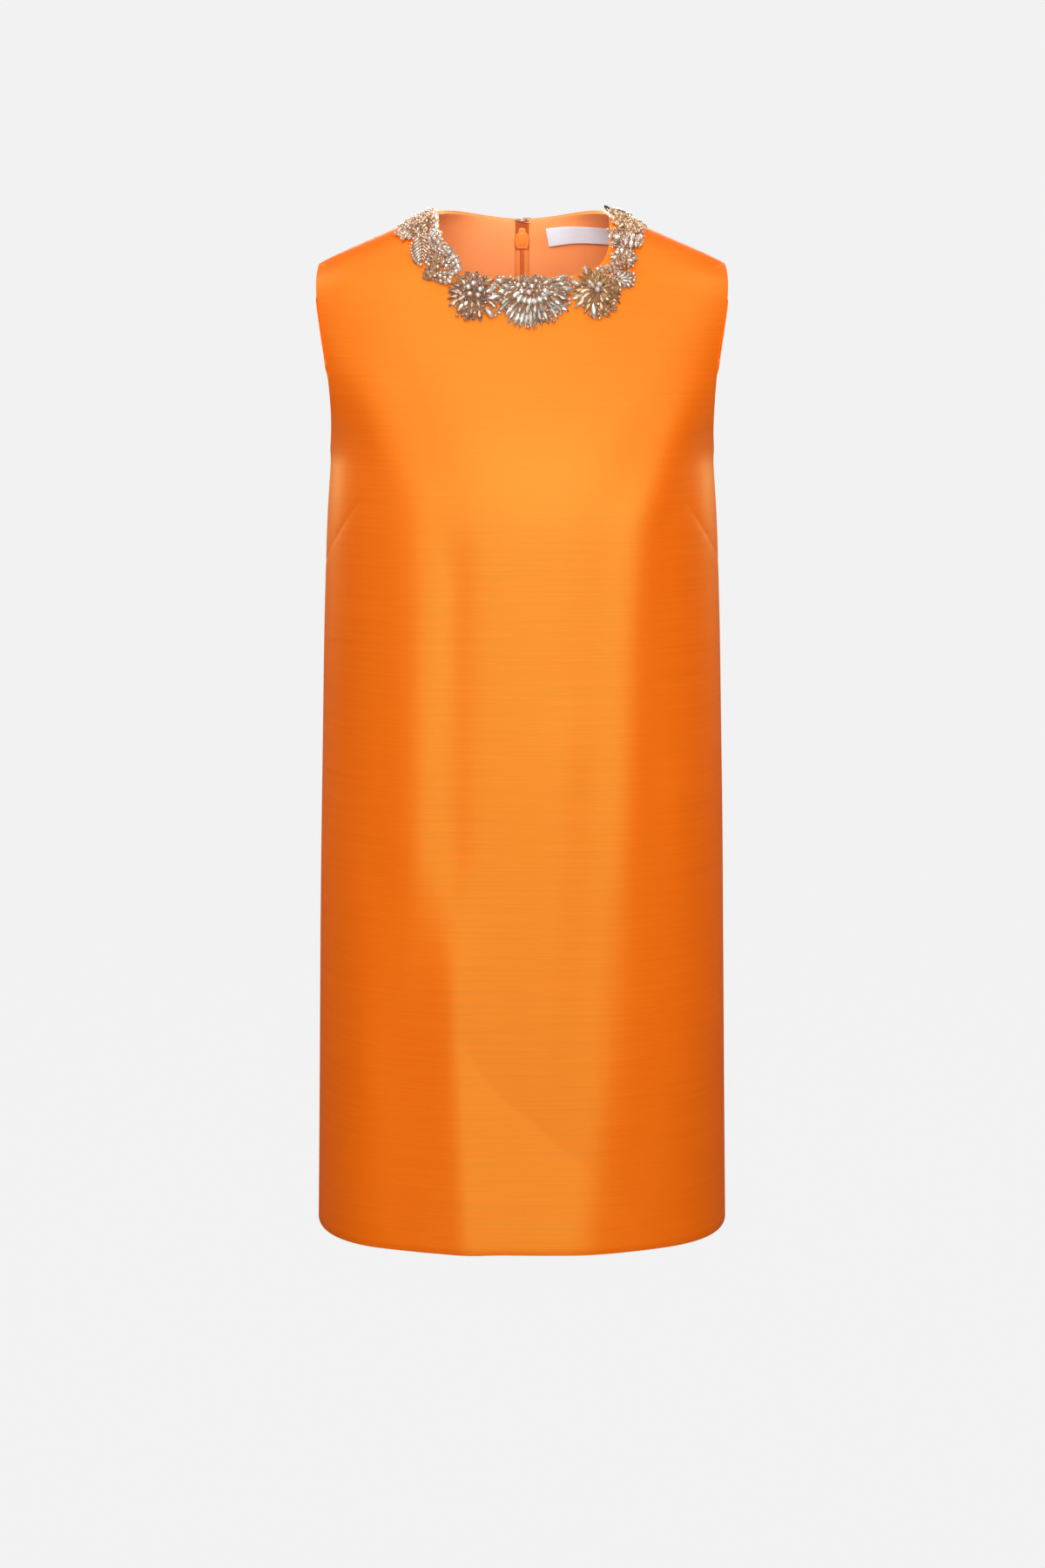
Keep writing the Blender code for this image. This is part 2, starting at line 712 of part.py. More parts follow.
def zip_pull(parts, helpers):
    """The pull tab: an eye round the slider's pin and a tab whose end leans on the back."""
    half = PULL_THICK / 2
    lean = math.asin((PIN_LIFT - half - PULL_REST_GAP) / PULL_LENGTH)
    pin = back_place(SLIDER_DROP) @ Matrix.Translation((0, PIN_LIFT, 0)) @ Matrix.Rotation(-lean, 4, "X")
    end_radius = PULL_END_WIDTH / 2
    end_centre = end_radius - PULL_LENGTH
    right = [(PULL_TOP_WIDTH / 2, -(EYE_BORE_RADIUS + EYE_RADIUS) / 2)]
    for step in range(PULL_END_STEPS + 1):
        turn = math.pi / 2 * step / PULL_END_STEPS
        right.append((end_radius * math.cos(turn), end_centre - end_radius * math.sin(turn)))
    outline = right + [(-x, z) for x, z in reversed(right[:-1])]
    tab = plate("zip_pull", outline, -half, half, pin, "zip_enamel", parts)
    eye = rod("pull_eye", EYE_RADIUS, EYE_HALF_WIDTH, (0, 0, 0), pin, None, helpers)
    combine(tab, eye, "UNION")
    bore = rod("pull_bore", EYE_BORE_RADIUS, EYE_HALF_WIDTH + CUT_BEYOND, (0, 0, 0), pin, None, helpers)
    combine(tab, bore, "DIFFERENCE")


def hook_and_eye(parts):
    """A wire hook on the right back that reaches through a wire eye on the left, above the slider."""
    place = back_place(HOOK_DROP)
    place.translation -= place.col[1].to_3d() * (SHELL_WALL + LAYER_GAP + FACING_WALL)
    half_loop = EYE_WIRE_HEIGHT / 2
    eye_route = [(HOOK_REACH, -WIRE_LEVEL, half_loop)]
    for step in range(WIRE_STEPS + 1):
        turn = math.pi / 2 + math.pi * step / WIRE_STEPS
        level = WIRE_LEVEL + (BAR_LEVEL - WIRE_LEVEL) * abs(math.cos(turn))
        eye_route.append((BAR_X + half_loop * (1 + math.cos(turn)), -level, half_loop * math.sin(turn)))
    eye_route.append((HOOK_REACH, -WIRE_LEVEL, -half_loop))
    wire("neck_eye", eye_route, WIRE_RADIUS, place, "silver_wire", parts)
    hook_route = [(-HOOK_REACH, -WIRE_LEVEL, 0), (-HOOK_LEG, -WIRE_LEVEL, 0)]
    hook_route.append((-HOOK_SHANK, -BAR_LEVEL - HOOK_CURL, 0))
    for step in range(WIRE_STEPS + 1):
        turn = math.pi / 2 - math.pi * step / WIRE_STEPS
        level = BAR_LEVEL + HOOK_CURL * math.sin(turn)
        hook_route.append((CURL_X + HOOK_CURL * math.cos(turn), -level, 0))
    hook_route.append((CURL_X - HOOK_BILL, HOOK_CURL - BAR_LEVEL, 0))
    wire("neck_hook", hook_route, WIRE_RADIUS, place, "silver_wire", parts)


# ------------------------------------------------------------------------------------ the collar


def cloth_axes(centre):
    """Directions on the cloth at a point: across towards +X, and up."""
    normal, _ = normal_at(centre)
    up = (Vector((0, 0, 1)) - normal * normal.z).normalized()
    across = up.cross(normal)
    if across.x < 0:
        across = -across
    return across, up


def between_skins(name, skins, faces, border, finish, collection):
    """A closed object between a lower and an upper skin with the same faces, joined round their border."""
    points = [lower for lower, _ in skins] + [upper for _, upper in skins]
    lift = len(skins)
    sides = [(here, after, lift + after, lift + here) for here, after in zip(border, border[1:] + border[:1])]
    raised = [tuple(lift + i for i in reversed(face)) for face in faces]
    add_object(name, mesh_from(name, points, faces + raised + sides), finish, collection)


def skin_pair(point, rise):
    """The points of the lower and the upper skin over a point of the form."""
    normal, _ = normal_at(point)
    return point + normal * MOTIF_GAP, point + normal * (MOTIF_GAP + rise)


def mound(row, collection):
    """A flower, fan, leaf or cluster from a row of the motif table: rings of points round its middle."""
    motif = dict(zip(MOTIF_COLUMNS, row))
    points = motif["points"]
    sectors = max(SECTORS_PER_POINT * points, FEWEST_SECTORS)
    centre = front_point(motif["x"] * MM, motif["drop"] * MM)
    across, up = cloth_axes(centre)
    skins = []
    for share in MOTIF_RINGS:
        dome = motif["edge_height"] + (motif["middle_height"] - motif["edge_height"]) * (1 - share**2)
        for sector in range(sectors if share else 1):
            angle = 2 * math.pi * sector / sectors
            petal = math.cos(points * angle)
            radius = share * (1 - motif["notch"] * (1 - petal) / 2)
            wide = motif["right" if math.cos(angle) > 0 else "left"] * radius * math.cos(angle)
            tall = motif["up" if math.sin(angle) > 0 else "down"] * radius * math.sin(angle)
            rise = dome + RIDGE_SHARE * motif["edge_height"] * share * petal
            skins.append(skin_pair(snapped(centre + (across * wide + up * tall) * MM), rise * MM))
    starts = [1 + ring * sectors for ring in range(len(MOTIF_RINGS) - 1)]
    faces = []
    for sector in range(sectors):
        after = (sector + 1) % sectors
        faces.append((0, starts[0] + sector, starts[0] + after))
        for inner, outer in zip(starts, starts[1:]):
            faces.append((inner + sector, outer + sector, outer + after, inner + after))
    border = [starts[-1] + sector for sector in range(sectors)]
    between_skins(motif["name"], skins, faces, border, motif["finish"], collection)


def crescent(collection):
    """A crescent of small stones along the right front neck edge, part of it hanging over the opening."""
    edges = table_curves(CRESCENT_COLUMNS, CRESCENT)
    start, end = CRESCENT[0][0] * MM, CRESCENT[-1][0] * MM
    skins = []
    for step in range(CRESCENT_STEPS + 1):
        drop = start + (end - start) * step / CRESCENT_STEPS
        inner, outer = edges["inner_edge"](drop), edges["outer_edge"](drop)
        for lane in range(CRESCENT_LANES + 1):
            share = lane / CRESCENT_LANES
            crown = math.sin(math.pi * share) * math.sin(math.pi * step / CRESCENT_STEPS)
            rise = CRESCENT_EDGE_HEIGHT + (CRESCENT_HEIGHT - CRESCENT_EDGE_HEIGHT) * crown
            skins.append(skin_pair(front_point(-(inner + (outer - inner) * share), drop), rise))
    wide = CRESCENT_LANES + 1
    faces = []
    for first in (row * wide + lane for row in range(CRESCENT_STEPS) for lane in range(CRESCENT_LANES)):
        faces.append((first, first + 1, first + wide + 1, first + wide))
    last = CRESCENT_STEPS * wide
    border = list(range(CRESCENT_LANES)) + [row * wide + CRESCENT_LANES for row in range(CRESCENT_STEPS)]
    border += [last + lane for lane in range(CRESCENT_LANES, 0, -1)]
    border += [row * wide for row in range(CRESCENT_STEPS, 0, -1)]
    between_skins("crescent_motif", skins, faces, border, "clear_stones", collection)


# ------------------------------------------------------------------------------------ the whole


def new_collection(name):
    """An empty collection in the scene."""
    collection = bpy.data.collections.new(name)
    bpy.context.scene.collection.children.link(collection)
    return collection


def main():
    """Clears the scene and models the dress."""
    for obj in list(bpy.data.objects):
        bpy.data.objects.remove(obj)
    parts = new_collection("shift_dress")
    helpers = new_collection("cutters")
    front_panel(parts, helpers)
    backs = back_panels(parts)
    back_facings(parts)
    tapes = zip_tapes(parts)
    neck_label(parts)
    zip_slider(parts, helpers, [*backs, *tapes])
    zip_pull(parts, helpers)
    hook_and_eye(parts)
    for row in MOTIFS:
        mound(row, parts)
    crescent(parts)


main()
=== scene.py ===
"""A sleeveless orange satin shift dress with a jewelled round neckline: cloth, zip, label, stones and studio.

Metres, +Z up, front towards -Y, the wearer's left towards +X. Every cloth piece lies on the same form as the
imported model's, so the finer pieces here take the places of its plain ones.
"""

import math

import bmesh
import bpy
import numpy as np
from mathutils import Matrix, Vector


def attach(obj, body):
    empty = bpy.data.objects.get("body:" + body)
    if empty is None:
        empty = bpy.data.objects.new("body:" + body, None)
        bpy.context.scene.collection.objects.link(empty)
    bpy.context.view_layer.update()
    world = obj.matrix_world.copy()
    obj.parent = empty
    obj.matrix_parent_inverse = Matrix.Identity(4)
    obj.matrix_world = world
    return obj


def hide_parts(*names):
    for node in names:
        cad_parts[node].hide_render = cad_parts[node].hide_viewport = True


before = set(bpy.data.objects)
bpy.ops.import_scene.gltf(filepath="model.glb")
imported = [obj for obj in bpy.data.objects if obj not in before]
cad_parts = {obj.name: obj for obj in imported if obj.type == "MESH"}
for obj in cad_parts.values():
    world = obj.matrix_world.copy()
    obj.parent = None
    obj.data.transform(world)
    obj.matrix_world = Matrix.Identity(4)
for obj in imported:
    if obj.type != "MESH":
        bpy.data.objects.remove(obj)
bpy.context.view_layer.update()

MM = 0.001
QUARTER = math.pi / 2
TURN = 2 * math.pi
NORMAL_STEP = 0.05 * MM
SNAP_STEPS = 4
CURVE_BEYOND = 80 * MM
CURVE_STEP = 0.1 * MM
HALVINGS = 40
SEED = 11

# ------------------------------------------------------------------------------------ sizes of the cut

SHELL_WALL = 1.5 * MM
FACING_WALL = 1.0 * MM
TAPE_WALL = 1.0 * MM
SEAM_GAP = 0.4 * MM
SEAM_CLOSED = 0.02 * MM
LAYER_GAP = 0.3 * MM
LENGTH = 930 * MM
NECK_HALF_WIDTH = 77.8 * MM
FRONT_NECK_DROP = 58.8 * MM
FRONT_NECK_SQUARENESS = 4.2
BACK_NECK_DROP = 4 * MM
BACK_NECK_RISE = 3.8 * MM
SHOULDER_DROP = 45.2 * MM
UNDERARM_DROP = 215 * MM

# Level sections of the form below the shoulder, in mm. A squareness of 2 is an ellipse, and more is boxier.
SECTION_COLUMNS = ("drop", "half_width", "front_depth", "back_depth", "squareness")
SECTIONS = (
    (0, 77.8, 47, 60, 2.35),
    (12.2, 108.0, 51, 64, 2.35),
    (27.6, 144.0, 58, 70.5, 2.36),
    (45.2, 181.7, 65, 77.5, 2.37),
    (60, 201, 70.8, 82.5, 2.38),
    (75, 208, 76, 87, 2.39),
    (100, 207, 84.5, 94, 2.40),
    (125, 202, 92.5, 99.5, 2.41),
    (150, 194.5, 100, 103.5, 2.42),
    (175, 184.5, 107, 106.5, 2.43),
    (200, 176.6, 113, 108, 2.44),
    (215, 174.2, 116, 109, 2.45),
    (231, 174.6, 118.5, 109.5, 2.46),
    (260, 176.8, 121.5, 110, 2.48),
    (310, 179.3, 123.5, 111, 2.52),
    (375, 181.7, 125, 113, 2.57),
    (440, 183.4, 127, 116, 2.62),
    (605, 187.5, 132.5, 125, 2.76),
    (774, 190.6, 138.5, 134, 2.85),
    (930, 193.6, 143, 141, 2.92),
)

# The armhole's two edges seen from the front, as half widths of the dress at each height, in mm.
ARMHOLE_COLUMNS = ("drop", "front_edge", "back_edge")
ARMHOLE = (
    (45.2, 181.7, 181.7),
    (60, 183.0, 185.4),
    (75, 182.3, 185.2),
    (100, 178.8, 183.4),
    (125, 174.9, 179.8),
    (150, 171.7, 176.6),
    (175, 170.3, 173.6),
    (200, 171.6, 173.2),
    (215, 174.2, 174.2),
)

# How fine the cloth's mesh is: rows beside the shoulder, the armhole and the side seam, columns in a
# quarter.
SHOULDER_ROWS = 21
ARMHOLE_ROWS = 33
SIDE_ROWS = 110
SIDE_ROW_GROWTH = 1.3
QUARTER_COLUMNS = 48
ARMHOLE_SAMPLES = 400
ARMHOLE_GROWTH = 1.4
EDGE_PULL = 3
EDGE_ROUND = 0.5 * MM
EDGE_WALL_SHARE = 0.35
EDGE_STEPS = 2
CLOTH_EDGE_ANGLE = 50
HARD_EDGE_ANGLE = 35
HARD_CREASE_ANGLE = 45

# Bust darts: a sewn line from the side seam up to the point, in a soft hollow.
DART_SIDE_DROP = 316 * MM
DART_POINT_DROP = 246 * MM
DART_POINT_ANGLE = 0.84
DART_BOW = 10 * MM
DART_POINTS = 60
DART_LINE_DEPTH = 0.45 * MM
DART_LINE_WIDTH = 0.8 * MM
DART_HOLLOW_DEPTH = 0.25 * MM
DART_HOLLOW_WIDTH = 5 * MM
DART_FADE = 0.12
DART_PUCKER = 0.3
DART_PUCKER_WAVES = 95, 31
DART_CUTS = 4
DART_FINE_REACH = 2.2 * MM
DART_FINE_SHARE = 1.3

# Soft creases of the cloth: the side of the dress, how wide each is, how deep, how far it takes to fade in
# and to fade out, and its route as x and drop, all in mm. A negative depth is a ridge.
CREASE_COLUMNS = ("side", "width", "depth", "fade_in", "fade_out", "route")
CREASES = (
    ("front", 21, -3.9, 80, 220, ((170, 120), (138, 195), (103.5, 275), (95, 380), (93, 520), (92, 700))),
    ("front", 30, -2.6, 220, 1, ((93, 480), (91, 640), (80, 780), (54, 930), (28, 1100))),
    ("front", 46, 2.8, 160, 1, ((130, 520), (126, 800), (119, 1100))),
    ("front", 22, -3.4, 80, 150, ((-160, 105), (-127, 175), (-99, 248), (-97, 330), (-98, 480), (-101, 700))),
    ("front", 20, -3.4, 130, 1, ((-68, 540), (-62, 640), (-57, 780), (-48, 930), (-38, 1100))),
    ("front", 13, 1.3, 60, 110, ((-58, 262), (-60, 380), (-62, 560), (-62, 700))),
    ("front", 24, -1.5, 90, 1, ((38, 400), (26, 600), (12, 800), (4, 1100))),
    ("front", 31, 3.2, 150, 1, ((-116, 640), (-112, 900), (-110, 1100))),
    ("front", 16, -0.8, 80, 90, ((-152, 540), (-144, 700), (-134, 860))),
    ("front", 14, -0.7, 50, 70, ((138, 470), (146, 560), (154, 650))),
    ("front", 5.5, 0.5, 12, 20, ((-80, 58), (-79.4, 80), (-79, 108))),
    ("front", 12, 0.5, 25, 40, ((118, 34), (138, 74), (160, 122))),
    ("front", 14, 0.4, 25, 50, ((-124, 44), (-142, 84), (-160, 134))),
    ("back", 24, -2.6, 110, 180, ((-132, 150), (-100, 260), (-99, 480), (-104, 720))),
    ("back", 24, -2.8, 110, 200, ((134, 170), (98, 290), (95, 560), (100, 860))),
    ("back", 22, 1.2, 130, 1, ((-44, 420), (-52, 700), (-60, 1100))),
    ("back", 20, 0.9, 130, 1, ((42, 520), (48, 800), (50, 1100))),
    ("back", 18, 0.8, 110, 90, ((140, 540), (136, 760), (130, 960))),
)
CREASE_SWELL = 0.15
CREASE_SWELLS = 7

# Layout inside the back neck.
ZIP_HALF_WIDTH = 6.2 * MM
FACING_END_SHARE = 6 / 18
TAPE_COLUMNS = 5
ZIP_END_DROP = 570 * MM
LABEL_START = 22 * MM
LABEL_LENGTH = 60 * MM
LABEL_TOP = 11.5 * MM
LABEL_HEIGHT = 15.5 * MM
LABEL_TILT = 11 * MM
LABEL_SLOPE = 3 * MM
LABEL_SLANT = 3 * MM
LABEL_STEPS = 48
LABEL_ROWS = 14
LABEL_WALL = 0.5 * MM
LABEL_GAP = 0.8 * MM
LABEL_LIFT = 1.3 * MM
LABEL_WAVE = 0.25 * MM
LABEL_WAVES = 9
LABEL_FOLD = 4 * MM
LABEL_FOLD_RISE = 0.3 * MM

# Stitches along the tapes and at the facing's foot: how far apart, how thick, and how far across the tape
# or up from the foot. Then the places along one stitch, and how high it stands there, in its thickness.
TAPE_STITCH_PITCH = 2.6 * MM
TAPE_STITCH_RADIUS = 0.16 * MM
TAPE_STITCH_SHARE = 0.78
FACING_STITCH_PITCH = 3.0 * MM
FACING_STITCH_RADIUS = 0.17 * MM
FACING_STITCH_SHARE = 0.6
STITCH_PLACES = (0.12, 0.3, 0.5, 0.7, 0.88)
STITCH_ARCH = (-0.9, 0.4, 0.7, 0.4, -0.9)
STITCH_LIFT = 0.5
STITCH_SIDES = 5

# ------------------------------------------------------------------------------------ the form


class Curve:
    """A smooth curve through a table's rows (a natural cubic spline), straight beyond its ends."""

    def __init__(self, at, values):
        self.at = np.array(at, float)
        self.values = np.array(values, float)
        count = len(self.at)
        step = np.diff(self.at)
        slope = np.diff(self.values) / step
        matrix = np.eye(count)
        right = np.zeros(count)
        for row in range(1, count - 1):
            before, after = step[row - 1], step[row]
            matrix[row, row - 1 : row + 2] = before, 2 * (before + after), after
            right[row] = 6 * (slope[row] - slope[row - 1])
        self.bend = np.linalg.solve(matrix, right)
        self.fine_at = np.arange(self.at[0] - CURVE_BEYOND, self.at[-1] + CURVE_BEYOND, CURVE_STEP)
        self.fine_values = self.spline(self.fine_at)

    def __call__(self, where):
        return np.interp(where, self.fine_at, self.fine_values)

    def spline(self, where):
        inside = np.clip(where, self.at[0], self.at[-1])
        i = np.clip(np.searchsorted(self.at, inside) - 1, 0, len(self.at) - 2)
        step = self.at[i + 1] - self.at[i]
        low = (self.at[i + 1] - inside) / step
        high = (inside - self.at[i]) / step
        start, end, bend_start, bend_end = self.values[i], self.values[i + 1], self.bend[i], self.bend[i + 1]
        value = low * start + high * end
        value = value + ((low**3 - low) * bend_start + (high**3 - high) * bend_end) * step**2 / 6
        slope = (end - start) / step
        slope = slope + ((3 * high**2 - 1) * bend_end - (3 * low**2 - 1) * bend_start) * step / 6
        return value + slope * (where - inside)


def table_curves(columns, rows):
    """One curve over the first column for each other column, in metres except for squareness."""
    by_name = {}
    for place, name in enumerate(columns[1:], start=1):
        unit = 1.0 if name == "squareness" else MM
        by_name[name] = Curve([row[0] * MM for row in rows], [row[place] * unit for row in rows])
    return by_name


FORM = table_curves(SECTION_COLUMNS, SECTIONS)
EDGES = table_curves(ARMHOLE_COLUMNS, ARMHOLE)


def stack(*parts):
    """Arrays of x, y and z as one array of points."""
    return np.stack(np.broadcast_arrays(*parts), -1)


def unit(vectors):
    """The vectors at length 1."""
    return vectors / np.linalg.norm(vectors, axis=-1, keepdims=True)


def on_form(angle, drop, side):
    """The form's points on the +X half, at angles from the centre line (0) to the side (a quarter turn)."""
    depth = FORM["front_depth" if side < 0 else "back_depth"](drop)
    power = 2 / FORM["squareness"](drop)
    across = FORM["half_width"](drop) * np.maximum(np.sin(angle), 0) ** power
    forward = SEAM_CLOSED + (depth - SEAM_CLOSED) * np.maximum(np.cos(angle), 0) ** power
    return stack(across, side * forward, -np.asarray(drop, float))


def angle_at(across, drop):
    """The angle at which the form's section at this height is that far across."""
    return np.arcsin(np.minimum(across / FORM["half_width"](drop), 1.0) ** (FORM["squareness"](drop) / 2))


def outside(points):
    """How far out of the form each point is, as a number that is 0 on its surface."""
    x, y, z = np.moveaxis(points, -1, 0)
    depth = np.where(y < 0, FORM["front_depth"](-z), FORM["back_depth"](-z))
    squareness = FORM["squareness"](-z)
    return (abs(x) / FORM["half_width"](-z)) ** squareness + (abs(y) / depth) ** squareness - 1


def growth(points):
    """How fast outside() grows along X, Y and Z at each point."""
    steps = NORMAL_STEP * np.eye(3)
    rises = [outside(points + step) - outside(points - step) for step in steps]
    return np.stack(rises, -1) / (2 * NORMAL_STEP)


def normals(points):
    """The form's outward directions at points."""
    return unit(growth(points))


def snapped(points):
    """The points moved onto the form, straight in or out."""
    for _ in range(SNAP_STEPS):
        grow = growth(points)
        points = points - grow * (outside(points) / (grow**2).sum(-1))[..., None]
    return points


def front_point(across, drop):
    """The points of the front seen at these places from ahead."""
    points = on_form(angle_at(np.abs(across), drop), drop, -1)
    return points * stack(np.where(np.asarray(across) < 0, -1.0, 1.0), 1.0, 1.0)


# ------------------------------------------------------------------------------------ panel grids


def front_neck_drop(angles):
    """How far down the front neckline crosses the form at each angle, found by halving."""
    high = np.zeros(len(angles))
    low = np.full(len(angles), FRONT_NECK_DROP)
    for _ in range(HALVINGS):
        middle = (high + low) / 2
        open_here = 1 - (middle / FRONT_NECK_DROP) ** FRONT_NECK_SQUARENESS
        neck = NECK_HALF_WIDTH * open_here ** (1 / FRONT_NECK_SQUARENESS)
        above = neck > on_form(angles, middle, -1)[:, 0]
        high = np.where(above, middle, high)
        low = np.where(above, low, middle)
    return (high + low) / 2


def edge_angle(drops, side):
    """The angles of a panel's side edge: the armhole from shoulder point to underarm, or else the seam."""
    edge = angle_at(EDGES["front_edge" if side < 0 else "back_edge"](drops), drops)
    return np.where((SHOULDER_DROP < drops) & (drops < UNDERARM_DROP), edge, QUARTER)


def lengths_along(points):
    """How far along a line of points each one is."""
    return np.concatenate([[0.0], np.cumsum(np.linalg.norm(np.diff(points, axis=0), axis=-1))])


def armhole_drops(side):
    """Heights of the rows that end on the armhole's edge, closer together at the shoulder point."""
    fine = np.linspace(SHOULDER_DROP, UNDERARM_DROP, ARMHOLE_SAMPLES)
    along = lengths_along(on_form(edge_angle(fine, side), fine, side))
    return np.interp(np.linspace(0, 1, ARMHOLE_ROWS + 1) ** ARMHOLE_GROWTH * along[-1], along, fine)


def half_grid(side):
    """Rows of points over half a panel, from its neckline to the hem and from the centre line to its edge."""
    shares = np.linspace(0, 1, QUARTER_COLUMNS + 1)
    angles = shares * QUARTER
    front_necks = front_neck_drop(angles)
    rises = 1 - front_necks / FRONT_NECK_DROP
    rises[0], rises[-1] = 0.0, 1.0
    back_necks = BACK_NECK_DROP * np.cos(angles) ** 2 - BACK_NECK_RISE * np.sin(2 * angles)
    necks = front_necks if side < 0 else back_necks
    upper = SHOULDER_ROWS + ARMHOLE_ROWS
    steps = (np.arange(1, SIDE_ROWS + 1) / SIDE_ROWS) ** SIDE_ROW_GROWTH
    below = UNDERARM_DROP + (LENGTH - UNDERARM_DROP) * steps
    shoulder = SHOULDER_DROP * np.arange(SHOULDER_ROWS) / SHOULDER_ROWS
    at_edge = np.concatenate([shoulder, armhole_drops(side), below])
    top = FRONT_NECK_DROP if side < 0 else BACK_NECK_DROP
    at_centre = np.concatenate([np.linspace(top, UNDERARM_DROP, upper + 1), below])
    fade = np.maximum(0.0, 1 - np.arange(len(at_edge)) / upper)
    corrections = necks - necks[0] * (1 - rises)
    corrections[0] = corrections[-1] = 0.0
    drops = at_centre[:, None] + (at_edge - at_centre)[:, None] * rises + fade[:, None] * corrections
    pulls = (edge_angle(at_edge, side) - QUARTER)[:, None] * shares**EDGE_PULL
    return on_form(angles + pulls, drops, side)


def mirrored(grid):
    """The same points on the other side of the centre line."""
    return grid * (-1, 1, 1)


def nearest_on(route, points):
    """How far each point is from a route, and how far along the route that is, from 0 to 1."""
    start, run = route[:-1], np.diff(route, axis=0)
    off = points[:, None] - start
    share = np.clip((off * run).sum(-1) / (run * run).sum(-1), 0, 1)
    away = np.linalg.norm(off - share[..., None] * run, axis=-1)
    best = away.argmin(1)
    every = np.arange(len(points))
    ends = lengths_along(route)
    along = ends[best] + share[every, best] * np.diff(ends)[best]
    return away[every, best], along / ends[-1]


def bell(away):
    """1 on the line and fading away beside it."""
    return np.exp(-(away**2))


def crease_depths(points, side):
    """How far the soft creases of one side of the dress press its cloth in at each point."""
    places = np.stack([points[..., 0], -points[..., 2]], -1).reshape(-1, 2) / MM
    depth = np.zeros(len(places))
    for row in CREASES:
        crease = dict(zip(CREASE_COLUMNS, row))
        if crease["side"] != side:
            continue
        route = np.array(crease["route"], float)
        length = np.linalg.norm(np.diff(route, axis=0), axis=-1).sum()
        away, along = nearest_on(route, places)
        fade_in, fade_out = along * length / crease["fade_in"], (1 - along) * length / crease["fade_out"]
        ends = np.clip(np.minimum(fade_in, fade_out), 0, 1)
        swell = 1 + CREASE_SWELL * np.sin(CREASE_SWELLS * along + crease["width"])
        depth += crease["depth"] * swell * ends**2 * (3 - 2 * ends) * bell(away / crease["width"])
    return depth.reshape(points.shape[:-1]) * MM


def creased(grid, side):
    """The grid with its soft creases."""
    return grid - normals(grid) * crease_depths(grid, side)[..., None]


def front_grid():
    """The front, from the wearer's right edge to the left one."""
    right_half = half_grid(-1)
    return creased(np.concatenate([mirrored(right_half)[:, :0:-1], right_half], axis=1), "front")


def back_grid(left):
    """One back, from the centre seam outwards, with a column at the zip tape's edge."""
    grid = half_grid(1)
    drops = -grid[:, 0, 2]
    beside_zip = on_form(angle_at(ZIP_HALF_WIDTH, drops), drops, 1)
    grid[:, 0, 0] = SEAM_CLOSED
    grid = np.concatenate([grid[:, :1], beside_zip[:, None], grid[:, 1:]], axis=1)
    return creased(grid if left else mirrored(grid), "back")


def inward(grid, depth):
    """A grid's points moved into the dress along the form's normals."""
    return grid - normals(grid) * np.asarray(depth)[..., None]


# ------------------------------------------------------------------------------------ surfaces as sums

THREAD_WAVE = 20 / TURN  # a Wave node's bands for each unit of its coordinate


class Shade:
    """A value that varies over a surface. Python sums on it add the nodes that work them out."""

    def __init__(self, surface, socket):
        self.surface = surface
        self.socket = socket

    def sum(self, operation, first, second):
        return self.surface.node("Math", {"operation": operation}, {0: first, 1: second})

    def __add__(self, other):
        return self.sum("ADD", self, other)

    def __sub__(self, other):
        return self.sum("SUBTRACT", self, other)

    def __rsub__(self, other):
        return self.sum("SUBTRACT", other, self)

    def __mul__(self, other):
        return self.sum("MULTIPLY", self, other)

    def __pow__(self, other):
        return self.sum("POWER", self, other)

    __radd__ = __add__
    __rmul__ = __mul__


